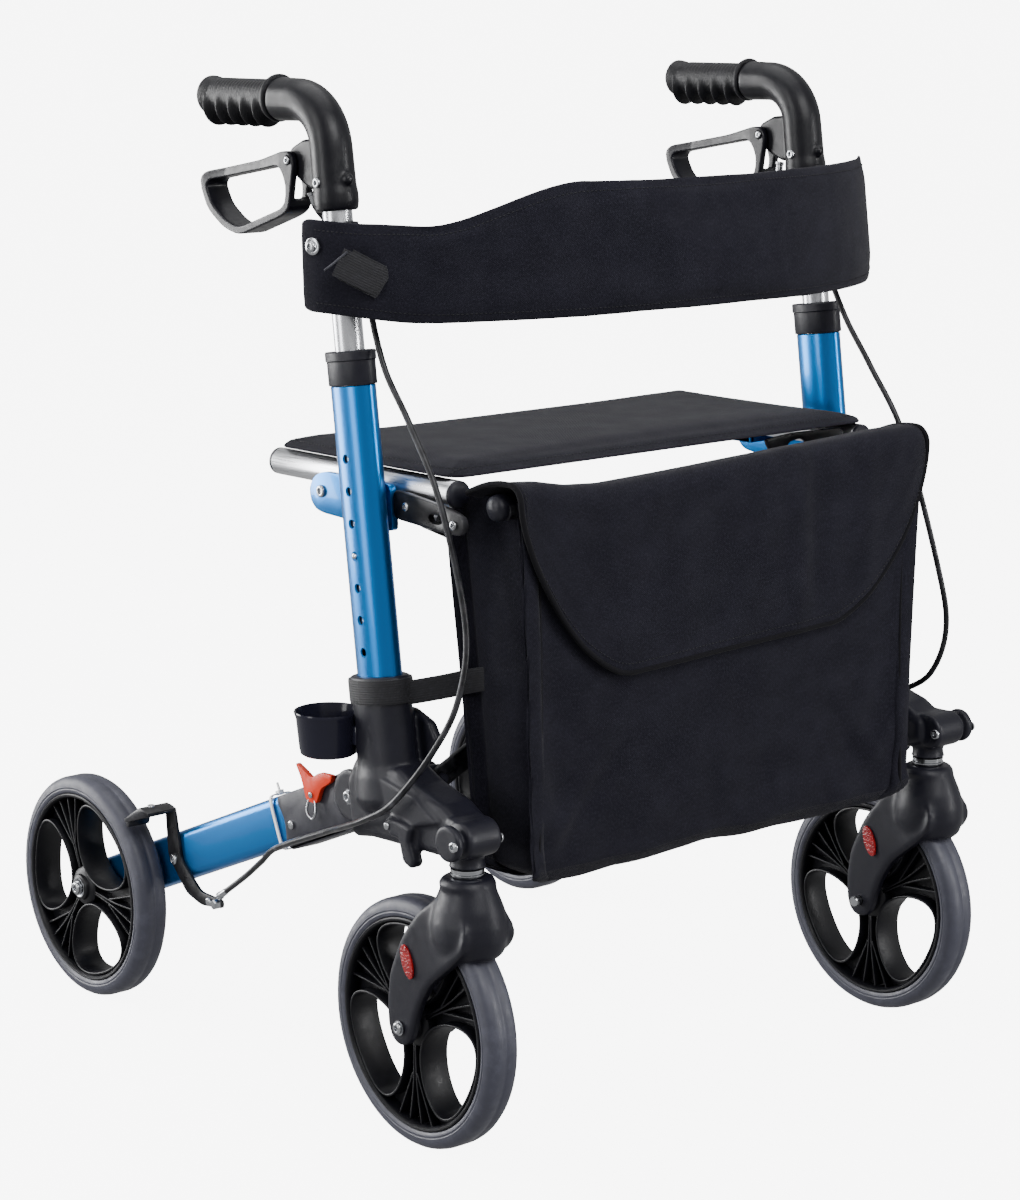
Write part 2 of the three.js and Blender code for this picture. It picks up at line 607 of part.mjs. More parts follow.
for (const [suffix, side] of [['l', 1], ['r', -1]]) {
  const mirrored = (geometry) => (side > 0 ? geometry : geometry.clone().scale(-1, 1, 1));
  const add = (group, name, geometry, makeMaterial) => {
    group.add(mesh(`${name}_${suffix}`, mirrored(geometry), makeMaterial));
  };

  const boltReach = CHEEK.from + CHEEK.plate + GAP + 5;
  const frame = new THREE.Group();
  add(frame, 'side_casting', sideCasting(), darkPlastic);
  add(frame, 'rail_bracket', railBracket(), bluePaint);
  add(frame, 'bag_bar', bagBar(), blackPaint);
  add(frame, 'handle_elbow', handleElbow(), darkPlastic);
  add(frame, 'grip', grip(), softGrip);
  add(frame, 'brake_lever', brakeLever(), blackPaint);
  add(frame, 'seat_rail', seatRail(), silver);
  add(frame, 'latch_lever', latchLever(), latchRed);
  add(frame, 'brake_arm', padArm(), blackPaint);
  add(frame, 'leg_hinge_bolt', crossBolt(HINGE.bolt, -boltReach, boltReach, 8, 5)
    .translate(HINGE.x, HINGE.y, HINGE.z), chrome);
  add(frame, 'cable_upper', swept(CABLE_UPPER[suffix], CABLE_RADIUS, 8, 26), cableBlack);
  add(frame, 'cable_lower', swept(CABLE_LOWER, CABLE_RADIUS, 8, 14), cableBlack);
  walker.add(frame);

  const mast = new THREE.Group();
  mast.position.set(side * MAST.x, MAST.y, MAST.z);
  mast.rotation.x = -MAST.lean;
  add(mast, 'upright_tube', uprightTube(), bluePaint);
  add(mast, 'upright_collar', uprightCollar(), darkPlastic);
  add(mast, 'post_tube', postTube(), silver);
  walker.add(mast);

  const leg = new THREE.Group();
  leg.position.set(side * HINGE.x, HINGE.y, HINGE.z);
  leg.rotation.x = LEG_SLOPE;
  add(leg, 'rear_leg', rearLeg(), bluePaint);
  add(leg, 'leg_sleeve', legSleeve(), darkPlastic);
  walker.add(leg);

  const rearWheel = new THREE.Group();
  rearWheel.position.set(side * REAR_AXLE.x, REAR_AXLE.y, REAR_AXLE.z);
  add(rearWheel, 'rear_tyre', tyre(), tyreGrey);
  add(rearWheel, 'rear_rim', rim(RIM_FACING.rear), darkPlastic);
  add(rearWheel, 'rear_axle_bolt', crossBolt(4, -42.5, 22, 7.5, 5), chrome);
  walker.add(rearWheel);

  const caster = new THREE.Group();
  caster.position.set(side * CASTER.x, CASTER.y, 0);
  add(caster, 'caster_fork', casterFork(), darkPlastic);
  add(caster, 'caster_stem', casterStem(), chrome);
  add(caster, 'caster_reflector', forkReflector(), reflectorRed);
  const frontWheel = new THREE.Group();
  frontWheel.position.set(0, CASTER.trail, WHEEL.radius);
  add(frontWheel, 'caster_tyre', tyre(), tyreGrey);
  add(frontWheel, 'caster_rim', rim(RIM_FACING.front), darkPlastic);
  add(frontWheel, 'caster_axle_bolt', crossBolt(4, -30, 30, 7, 3.6), chrome);
  caster.add(frontWheel);
  walker.add(caster);
}

walker.add(mesh('cross_bar_a', crossBar(-1, BRACE_LUG.y - BRACE_OFFSET), blackPaint));
walker.add(mesh('cross_bar_b', crossBar(1, BRACE_LUG.y + BRACE_OFFSET), blackPaint));
walker.add(mesh('cross_pivot_bolt', crossPivotBolt(), chrome));
walker.add(mesh('seat_fabric', seatFabric(), fabric));
walker.add(mesh('backrest', backrest(), fabric));
walker.add(mesh('bag_body', bagBody(), fabric));
walker.add(mesh('bag_flap', bagFlap(), fabric));
walker.add(mesh('cane_cup', caneCup().scale(-1, 1, 1), darkPlastic));

export default walker;
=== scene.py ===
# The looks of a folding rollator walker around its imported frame. Lengths here are millimetres
# unless a name says otherwise: x to the left of the person who walks behind, y backwards, z up.
import math

import bmesh
import bpy
import numpy as np
from mathutils import Matrix, Vector, noise


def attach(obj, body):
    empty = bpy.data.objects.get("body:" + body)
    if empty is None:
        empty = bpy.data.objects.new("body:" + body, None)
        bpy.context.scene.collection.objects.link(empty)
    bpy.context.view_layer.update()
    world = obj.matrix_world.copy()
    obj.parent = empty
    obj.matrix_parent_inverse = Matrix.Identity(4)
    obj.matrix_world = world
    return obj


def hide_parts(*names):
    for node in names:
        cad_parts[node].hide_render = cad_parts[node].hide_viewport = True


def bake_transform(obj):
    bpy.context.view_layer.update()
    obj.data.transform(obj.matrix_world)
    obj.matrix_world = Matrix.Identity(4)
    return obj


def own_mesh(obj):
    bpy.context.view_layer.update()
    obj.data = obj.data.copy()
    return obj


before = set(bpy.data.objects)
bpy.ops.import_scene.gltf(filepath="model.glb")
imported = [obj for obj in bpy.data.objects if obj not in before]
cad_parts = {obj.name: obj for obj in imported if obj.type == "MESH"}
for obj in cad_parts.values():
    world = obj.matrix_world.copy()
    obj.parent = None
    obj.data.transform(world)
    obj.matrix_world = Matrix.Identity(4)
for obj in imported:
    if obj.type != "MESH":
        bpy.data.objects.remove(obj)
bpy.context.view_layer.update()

MM = 0.001
SCENE = bpy.context.scene
SIDES = (("l", 1), ("r", -1))

# ---- dimensions shared with the frame ----
MAST = (253.0, -210.3, 250.0)
LEAN = math.radians(7)
HINGE = (222.0, -138.0, 256.0)
AXLE = (249.0, 239.0, 100.0)
LEG_LENGTH = math.hypot(AXLE[1] - HINGE[1], AXLE[2] - HINGE[2])
LEG_SLOPE = math.atan2(AXLE[2] - HINGE[2], AXLE[1] - HINGE[1])
CASTER = (255.0, -304.0, 0.0)
TRAIL = 55.0
WHEEL = 100.0
HOLES, FIRST_HOLE, HOLE_PITCH = 7, 137.5, 25    # the height holes, up the mast
SET_HOLE = 3                                    # the post's button is in the fourth
GRIP_HEIGHT = 806
LEVER_PIN = (0, -104, 760)
RAIL = (219, 0, 512)
BRACE_Y, BRACE_MIDDLE, BRACE_SPAN, BRACE_RISE = -221, 387.5, 438, 205
BAR_OFFSET, BAR_HALF = 5.4, 2.5                 # a bar's middle from the pivot's, and half its thickness
BRACE_LENGTH = math.hypot(BRACE_SPAN, BRACE_RISE)
BRACE_SLOPE = math.atan2(BRACE_RISE, BRACE_SPAN)


# ---- mesh helpers ----
def link(name, mesh):
    obj = bpy.data.objects.new(name, mesh)
    SCENE.collection.objects.link(obj)
    return obj


def build(name, corners, faces):
    """A mesh object from corners in millimetres, with its faces turned outwards."""
    mesh = bpy.data.meshes.new(name)
    mesh.from_pydata([Vector(corner) * MM for corner in corners], [], faces)
    bm = bmesh.new()
    bm.from_mesh(mesh)
    bmesh.ops.recalc_face_normals(bm, faces=bm.faces)
    bm.to_mesh(mesh)
    bm.free()
    return link(name, mesh)


def bake(obj):
    """Applies every modifier."""
    graph = bpy.context.evaluated_depsgraph_get()
    mesh = bpy.data.meshes.new_from_object(obj.evaluated_get(graph))
    obj.modifiers.clear()
    obj.data = mesh
    return obj


def modified(obj, kind, **settings):
    modifier = obj.modifiers.new(kind.lower(), kind)
    for name, value in settings.items():
        setattr(modifier, name, value)
    return bake(obj)


def bevelled(obj, width, segments=2, angle=35):
    return modified(obj, "BEVEL", width=width * MM, segments=segments, limit_method="ANGLE",
                    angle_limit=math.radians(angle))


def joined(name, parts):
    bm = bmesh.new()
    for part in parts:
        bm.from_mesh(part.data)
        bpy.data.objects.remove(part)
    mesh = bpy.data.meshes.new(name)
    bm.to_mesh(mesh)
    bm.free()
    return link(name, mesh)


def shaded(obj, angle=40):
    obj.data.polygons.foreach_set("use_smooth", [True] * len(obj.data.polygons))
    obj.data.set_sharp_from_angle(angle=math.radians(angle))
    return obj


def moved(obj, matrix):
    """Applies a matrix whose lengths are millimetres."""
    scaled = matrix.copy()
    scaled.translation = scaled.translation * MM
    obj.data.transform(scaled)
    return obj


def shift(x, y, z):
    return Matrix.Translation((x, y, z))


def turn(degrees, axis):
    return Matrix.Rotation(math.radians(degrees), 4, axis)


ON_MAST = shift(*MAST) @ Matrix.Rotation(-LEAN, 4, "X")
ON_LEG = shift(*HINGE) @ Matrix.Rotation(LEG_SLOPE, 4, "X")


def mast_y(z):
    return MAST[1] + (z - MAST[2]) * math.tan(LEAN)


def cut_out(obj, cutters):
    """Takes the cutters' shapes out of a solid, and removes the cutters."""
    for cutter in cutters:
        modified(obj, "BOOLEAN", operation="DIFFERENCE", object=cutter, solver="MANIFOLD")
        bpy.data.objects.remove(cutter)
    return obj


def smooth_step(t):
    t = min(max(t, 0.0), 1.0)
    return t * t * (3 - 2 * t)


def moulded_union(name, parts, voxel, smooth=6, cutters=()):
    """Joins overlapping solids into one rounded moulding, and cuts the cutters out of it."""
    obj = joined(name, parts)
    modified(obj, "REMESH", mode="VOXEL", voxel_size=voxel * MM, adaptivity=0)
    modified(obj, "SMOOTH", factor=0.5, iterations=smooth)
    return cut_out(obj, cutters)


# ---- outlines and lines ----
def fillet(points, radius, steps=3):
    """Rounds the corners of a closed outline."""
    out = []
    count = len(points)
    for i in range(count):
        before, here, after = (np.array(points[j % count], float) for j in (i - 1, i, i + 1))
        a, b = before - here, after - here
        cut = min(radius, 0.45 * np.linalg.norm(a), 0.45 * np.linalg.norm(b))
        start, end = here + a / np.linalg.norm(a) * cut, here + b / np.linalg.norm(b) * cut
        for step in range(steps + 1):
            t = step / steps
            out.append(tuple((1 - t) ** 2 * start + 2 * t * (1 - t) * here + t * t * end))
    return out


def oval(half_a, half_b, sides=48, centre=(0, 0)):
    return [(centre[0] + half_a * math.cos(2 * math.pi * i / sides),
             centre[1] + half_b * math.sin(2 * math.pi * i / sides)) for i in range(sides)]


def circle(radius, sides=32, centre=(0, 0)):
    return oval(radius, radius, sides, centre)


def spline(points, count, closed=False):
    """Evenly spaced points on a smooth curve through the given ones."""
    points = [Vector(p) for p in points]
    n = len(points)
    fine = []
    spans = n if closed else n - 1
    for i in range(spans):
        if closed:
            p0, p1, p2, p3 = (points[(i + k) % n] for k in (-1, 0, 1, 2))
        else:
            p0, p1, p2, p3 = (points[min(max(i + k, 0), n - 1)] for k in (-1, 0, 1, 2))
        for step in range(24):
            t = step / 24
            fine.append(0.5 * ((2 * p1) + (p2 - p0) * t + (2 * p0 - 5 * p1 + 4 * p2 - p3) * t * t
                               + (3 * p1 - p0 - 3 * p2 + p3) * t ** 3))
    fine.append(points[0] if closed else points[-1])
    run = np.array([list(p) for p in fine])
    along = np.concatenate([[0], np.cumsum(np.linalg.norm(np.diff(run, axis=0), axis=1))])
    wanted = np.linspace(0, along[-1], count + 1)[:-1] if closed else np.linspace(0, along[-1], count)
    return np.stack([np.interp(wanted, along, run[:, k]) for k in range(run.shape[1])], 1)


# ---- solids ----
AXES = {"x": lambda a, b, t: (t, a, b), "y": lambda a, b, t: (a, t, b), "z": lambda a, b, t: (a, b, t)}
FROM_Z = {"z": Matrix.Identity(4), "x": turn(90, "Y"), "y": turn(-90, "X")}


def plate(name, outlines, low, high, axis="x", edge=1.0, segments=2):
    """A flat plate with rounded edges: its rim, and then any holes, in the other two axes."""
    if not isinstance(outlines[0][0], (tuple, list)):
        outlines = [outlines]
    place = AXES[axis]
    bm = bmesh.new()
    levels = []
    for t in (low, high):
        rings = [[bm.verts.new(Vector(place(a, b, t)) * MM) for a, b in outline] for outline in outlines]
        edges = [bm.edges.new((ring[i - 1], ring[i])) for ring in rings for i in range(len(ring))]
        bmesh.ops.triangle_fill(bm, use_beauty=True, use_dissolve=False, edges=edges)
        levels.append(rings)
    for lower, upper in zip(*levels):
        for i in range(len(lower)):
            bm.faces.new((lower[i - 1], lower[i], upper[i], upper[i - 1]))
    bmesh.ops.recalc_face_normals(bm, faces=bm.faces)
    mesh = bpy.data.meshes.new(name)
    bm.to_mesh(mesh)
    bm.free()
    obj = link(name, mesh)
    return bevelled(obj, edge, segments) if edge else obj


def loft(name, rings, caps=True, closed=False):
    """A skin through rings that have the same number of points."""
    sides = len(rings[0])
    corners = [tuple(point) for ring in rings for point in ring]
    faces = []
    spans = len(rings) if closed else len(rings) - 1
    for i in range(spans):
        a, b = i * sides, (i + 1) % len(rings) * sides
        for j in range(sides):
            k = (j + 1) % sides
            faces.append((a + j, a + k, b + k, b + j))
    if caps and not closed:
        faces.append(tuple(range(sides))[::-1])
        faces.append(tuple((len(rings) - 1) * sides + j for j in range(sides)))
    return build(name, corners, faces)


def lathe(name, profile, segments=48, axis="z", centre=(0, 0, 0), ring=False):
    """A turned piece: profile points are (radius, height). ring closes the profile on itself."""
    corners, index = [], []
    for radius, height in profile:
        if radius < 1e-6:
            index.append([len(corners)] * segments)
            corners.append((0, 0, height))
            continue
        index.append([len(corners) + j for j in range(segments)])
        for j in range(segments):
            angle = 2 * math.pi * j / segments
            corners.append((radius * math.cos(angle), radius * math.sin(angle), height))
    faces = []
    spans = len(profile) if ring else len(profile) - 1
    for i in range(spans):
        low, high = index[i], index[(i + 1) % len(profile)]
        for j in range(segments):
            k = (j + 1) % segments
            face = []
            for corner in (low[j], low[k], high[k], high[j]):
                if corner not in face:
                    face.append(corner)
            if len(face) > 2:
                faces.append(tuple(face))
    return moved(build(name, corners, faces), shift(*centre) @ FROM_Z[axis])


def sweep(name, path, section, side=None, closed=False):
    """Sweeps a section along a path. section(i, t) gives (side, normal) offsets at station i."""
    path = np.array(path, float)
    if closed:
        tangents = np.roll(path, -1, 0) - np.roll(path, 1, 0)
    else:
        tangents = np.gradient(path, axis=0)
    tangents /= np.linalg.norm(tangents, axis=1)[:, None]
    across = np.array(side if side is not None else Vector(tangents[0]).orthogonal(), float)
    rings = []
    for i, tangent in enumerate(tangents):
        held = np.array(side, float) if side is not None else across
        across = held - tangent * (held @ tangent)
        across /= np.linalg.norm(across)
        normal = np.cross(tangent, across)
        rings.append([path[i] + across * a + normal * b for a, b in section(i, i / max(len(path) - 1, 1))])
    return loft(name, rings, closed=closed)


def tube(name, points, radius, count=60, sides=14):
    return sweep(name, spline(points, count), lambda i, t: circle(radius, sides))


def rounded_rectangle(half_a, half_b, corner, steps=3):
    return fillet([(half_a, half_b), (-half_a, half_b), (-half_a, -half_b), (half_a, -half_b)],
                  corner * 1.3, steps)


def bolt(name, centre, radius, height, axis="x", out=1, socket=True):
    """A round bolt head with a rounded rim, and a hexagonal socket in its face."""
    profile = [(0, 0), (radius, 0), (radius, height * 0.55), (radius * 0.93, height * 0.82),
               (radius * 0.8, height), (radius * 0.5, height)]
    if socket:
        profile += [(radius * 0.46, height * 0.94), (radius * 0.42, height * 0.4), (0, height * 0.35)]
    else:
        profile += [(0, height * 1.02)]
    obj = lathe(name, profile, 24, "z")
    flip = turn(0 if out > 0 else 180, "X")
    return moved(obj, shift(*centre) @ FROM_Z[axis] @ flip)


# ---- placing ----
def mirrored(obj, name):
    """The mirror image of a piece, on the other side of x = 0."""
    mesh = obj.data.copy()
    mesh.transform(Matrix.Diagonal((-1, 1, 1, 1)))
    mesh.flip_normals()
    return link(name, mesh)


def finish_piece(obj, look, body, angle):
    """Gives a piece its material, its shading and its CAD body."""
    obj.data.materials.clear()
    obj.data.materials.append(look)
    shaded(obj, angle)
    if body:
        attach(obj, body)
    return obj


def both(obj, look, body, node=None, angle=40):
    """Places a left piece, and its mirror image on the right. body and node take the side's letter."""
    base = obj.name
    obj.name = f"{base}_look_l"
    pair = (obj, mirrored(obj, f"{base}_look_r"))
    for piece, (letter, _) in zip(pair, SIDES):
        finish_piece(piece, look, body.format(letter), angle)
        if node:
            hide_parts(f"{node}_{letter}")
    return pair


def single(obj, look, body, node=None, angle=40):
    """Places a piece that has no mirror image. body may be None, which leaves the piece on no body."""
    obj.name = f"{obj.name}_look"
    finish_piece(obj, look, body, angle)
    if node:
        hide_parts(node)
    return obj


# ---- materials ----
class Look:
    """A material that grows node by node from its shader."""

    def __init__(self, name, color, roughness, **sockets):
        self.material = bpy.data.materials.new(name)
        self.material.use_nodes = True
        self.tree = self.material.node_tree
        self.shader = self.tree.nodes["Principled BSDF"]
        self.set(self.shader, "Base Color", (*color, 1))
        self.set(self.shader, "Roughness", roughness)
        for socket, value in sockets.items():
            self.set(self.shader, socket.replace("_", " "), value)
        self.color, self.height = (*color, 1), None

    def set(self, node, socket, value):
        if isinstance(value, bpy.types.NodeSocket):
            self.tree.links.new(value, node.inputs[socket])
        else:
            node.inputs[socket].default_value = value

    def add(self, kind, inputs=(), **settings):
        node = self.tree.nodes.new("ShaderNode" + kind)
        for name, value in settings.items():
            setattr(node, name, value)
        for socket, value in dict(inputs).items():
            self.set(node, socket, value)
        return node

    def coordinates(self, kind="Object", stretch=(1, 1, 1)):
        if kind == "UV":
            source = self.add("UVMap").outputs["UV"]
        else:
            source = self.add("TexCoord").outputs[kind]
        return self.add("Mapping", {"Vector": source, "Scale": stretch}).outputs["Vector"]

    def noise(self, scale, detail=3, stretch=(1, 1, 1), kind="Object", roughness=0.55):
        vector = self.coordinates(kind, stretch)
        node = self.add("TexNoise", {"Vector": vector, "Scale": scale, "Detail": detail,
                                     "Roughness": roughness})
        return node.outputs["Fac"]

    def span(self, value, low, high, to_low=0.0, to_high=1.0):
        node = self.add("MapRange", {"Value": value, "From Min": low, "From Max": high,
                                     "To Min": to_low, "To Max": to_high})
        return node.outputs["Result"]

    def math(self, operation, a, b=0.0):
        node = self.add("Math", operation=operation)
        self.set(node, 0, a)
        self.set(node, 1, b)
        return node.outputs[0]

    def tint(self, factor, other, strength=1.0):
        """Mixes another colour in where factor is high."""
        node = self.add("Mix", data_type="RGBA")
        self.set(node, "Factor", self.math("MULTIPLY", factor, strength))
        self.set(node, 6, self.color)
        self.set(node, 7, (*other, 1))
        self.color = node.outputs[2]
        self.set(self.shader, "Base Color", self.color)
        return self

    def rough(self, factor, low, high):
        self.set(self.shader, "Roughness", self.span(factor, 0.3, 0.7, low, high))
        return self

    def bump(self, height, depth, strength=1.0):
        """Adds relief of a depth in millimetres."""
        inputs = {"Height": height, "Distance": depth * MM, "Strength": strength}
        if self.height:
            inputs["Normal"] = self.height
        self.height = self.add("Bump", inputs).outputs["Normal"]
        self.set(self.shader, "Normal", self.height)
        return self

    def worn(self, light, strength=0.6):
        """Lightens the convex edges, as handling does."""
        edge = self.span(self.add("NewGeometry").outputs["Pointiness"], 0.515, 0.57)
        patchy = self.span(self.noise(90, 5), 0.4, 0.62)
        return self.tint(self.math("MULTIPLY", edge, patchy), light, strength)


def plastic_look(name, color, roughness=0.46, grain=1700, depth=0.06, light=(0.16, 0.16, 0.18)):
    """Moulded plastic with a spark-eroded grain."""
    look = Look(name, color, roughness, Specular_IOR_Level=0.25)
    look.tint(look.span(look.noise(28, 4), 0.42, 0.7), tuple(1.35 * c for c in color), 0.5)
    look.rough(look.noise(160, 4), roughness - 0.06, roughness + 0.08)
    look.bump(look.noise(grain, 2), depth)
    return look.worn(light, 0.35).material


def paint_look(name, color, light):
    """Metallic paint under a clear coat, with flakes."""
    look = Look(name, color, 0.3, Metallic=0.86, Coat_Weight=0.22, Coat_Roughness=0.05)
    look.tint(look.span(look.noise(4200, 1), 0.52, 0.8), light, 0.07)
    look.rough(look.noise(700, 2), 0.29, 0.32)
    return look.bump(look.noise(2600, 1), 0.003).material


def metal_look(name, color, roughness, stretch=(1, 1, 1), depth=0.01):
    """Bare metal, brushed along the axis that is stretched least."""
    look = Look(name, color, roughness, Metallic=1.0)
    brushed = look.noise(900, 4, stretch)
    look.rough(brushed, roughness - 0.06, roughness + 0.1)
    look.tint(look.span(look.noise(60, 4, stretch), 0.35, 0.75), tuple(0.72 * c for c in color), 0.6)
    return look.bump(brushed, depth).material


def rubber_look(name, color, light, roughness=0.5):
    """Grey polyurethane or rubber with scuffs and dust."""
    look = Look(name, color, roughness, Specular_IOR_Level=0.5)
    look.tint(look.span(look.noise(45, 6, roughness=0.7), 0.5, 0.78), light, 0.55)
    look.rough(look.noise(120, 5), roughness - 0.09, roughness + 0.1)
    look.bump(look.noise(1100, 3), 0.05)
    return look.worn(light, 0.5).material


def cloth_look(name, color, light, thread=0.9, depth=0.16):
    """Plain-woven cloth. The UVs are metres on the cloth, and thread is a thread's width in millimetres."""
    look = Look(name, color, 0.88, Sheen_Weight=0.05, Sheen_Roughness=0.4, Specular_IOR_Level=0.1)
    turns = math.pi / (thread * MM)
    uv = look.add("SeparateXYZ", {"Vector": look.add("UVMap").outputs["UV"]})
    warp = look.math("SINE", look.math("MULTIPLY", uv.outputs["X"], turns))
    weft = look.math("SINE", look.math("MULTIPLY", uv.outputs["Y"], turns))
    weave = look.span(look.math("MULTIPLY", warp, weft), -1, 1)
    heather = look.noise(760, 2, (1, 0.6, 1), "UV")
    look.tint(look.span(heather, 0.45, 0.75), light, 0.6)
    look.tint(look.span(weave, 0.75, 0.1), tuple(0.4 * c for c in color), 0.6)
    look.tint(look.span(look.noise(26, 5, kind="UV", roughness=0.7), 0.42, 0.8), light, 0.3)
    look.rough(look.noise(35, 4, kind="UV"), 0.8, 0.93)
    look.bump(weave, depth)
    look.bump(heather, 0.07)
    return look.material


def webbing_look(name, color, light):
    """Ribbed strap. The UVs are metres along and across it."""
    look = Look(name, color, 0.65, Sheen_Weight=0.1, Specular_IOR_Level=0.3)
    uv = look.add("SeparateXYZ", {"Vector": look.add("UVMap").outputs["UV"]})
    rib = look.span(look.math("SINE", look.math("MULTIPLY", uv.outputs["Y"], 2 * math.pi / 0.0019)), -1, 1)
    pick = look.span(look.math("SINE", look.math("MULTIPLY", uv.outputs["X"], 2 * math.pi / 0.0011)), -1, 1)
    look.tint(look.span(look.noise(300, 3), 0.45, 0.75), light, 0.6)
    look.tint(look.span(rib, 0.35, 0.0), tuple(0.5 * c for c in color), 0.4)
    look.bump(rib, 0.12)
    look.bump(pick, 0.08)
    return look.material


def grip_look():
    look = Look("grip_rubber", (0.0026, 0.0026, 0.004), 0.5, Specular_IOR_Level=0.25)
    look.tint(look.span(look.noise(80, 5), 0.45, 0.75), (0.009, 0.009, 0.012), 0.6)
    look.rough(look.noise(200, 4), 0.44, 0.58)
    stipple = look.add("TexVoronoi", {"Vector": look.coordinates(), "Scale": 620.0})
    look.bump(look.span(stipple.outputs["Distance"], 0.0, 0.6, 1.0, 0.0), 0.16)
    return look.worn((0.035, 0.035, 0.042), 0.4).material


def reflector_look():
    """Red prismatic lens."""
    look = Look("reflector_red", (0.17, 0.0, 0.003), 0.25, Specular_IOR_Level=0.25, Coat_Weight=0.3,
                Coat_Roughness=0.05)
    prism = look.add("TexVoronoi", {"Vector": look.coordinates(stretch=(0.2, 1, 1)), "Scale": 420.0},
                     feature="DISTANCE_TO_EDGE")
    cell = look.span(prism.outputs["Distance"], 0.0, 0.35)
    look.tint(look.span(cell, 0.7, 0.1), (0.36, 0.012, 0.012), 0.6)
    return look.bump(cell, 0.25).material


BLUE = paint_look("blue_anodised", (0.0, 0.14, 0.43), (0.0, 0.33, 0.75))
SILVER = metal_look("silver_aluminium", (0.72, 0.73, 0.76), 0.26, (1, 1, 0.03))
RAIL_SILVER = metal_look("rail_silver", (0.7, 0.71, 0.74), 0.3, (1, 0.03, 1))
CHROME = metal_look("chrome", (0.44, 0.45, 0.47), 0.18)
PLASTIC = plastic_look("black_plastic", (0.0062, 0.0062, 0.0108), 0.42, light=(0.03, 0.03, 0.04))
HANDLE = plastic_look("handle_plastic", (0.0032, 0.0032, 0.0052), 0.36, light=(0.02, 0.02, 0.026))
SLEEVE_GREY = plastic_look("sleeve_grey", (0.022, 0.022, 0.029), 0.4, light=(0.09, 0.09, 0.105))
CAST = plastic_look("black_cast", (0.0042, 0.0042, 0.0072), 0.34, grain=1100, light=(0.04, 0.04, 0.052))
STEEL = plastic_look("black_steel", (0.004, 0.004, 0.005), 0.32, grain=800, depth=0.03,
                     light=(0.08, 0.08, 0.09))
RIM = plastic_look("rim_black", (0.0024, 0.0024, 0.004), 0.42, light=(0.006, 0.006, 0.009))
CUP = plastic_look("cup_black", (0.009, 0.009, 0.017), 0.14, grain=500, depth=0.01)
TYRE = rubber_look("tyre_grey", (0.032, 0.033, 0.049), (0.07, 0.072, 0.098))
CABLE = plastic_look("cable_black", (0.005, 0.005, 0.0065), 0.33, grain=600, depth=0.01)
ORANGE = plastic_look("latch_orange", (0.6, 0.022, 0.0015), 0.4, grain=700, depth=0.02,
                      light=(0.8, 0.12, 0.03))
WHITE = plastic_look("tie_white", (0.75, 0.76, 0.76), 0.4, light=(0.9, 0.9, 0.9))
GRIP = grip_look()
REFLECTOR = reflector_look()
CLOTH = cloth_look("black_fabric", (0.0066, 0.0064, 0.011), (0.023, 0.0225, 0.033))
HEM = cloth_look("hem_fabric", (0.004, 0.0038, 0.0052), (0.012, 0.012, 0.015), 0.6)
THREAD = plastic_look("thread", (0.0065, 0.0065, 0.009), 0.65, light=(0.018, 0.018, 0.022))
WEBBING = webbing_look("webbing", (0.0035, 0.0035, 0.0055), (0.011, 0.011, 0.016))


# ---- side casting, uprights and posts ----
def ellipse_rings(levels, sides=56):
    """Rings on the mast from (height, half width, half depth) levels."""
    return [[(a, b, s) for a, b in oval(half_a, half_b, sides)] for s, half_a, half_b in levels]


def on_mast(obj):
    return moved(obj, ON_MAST)


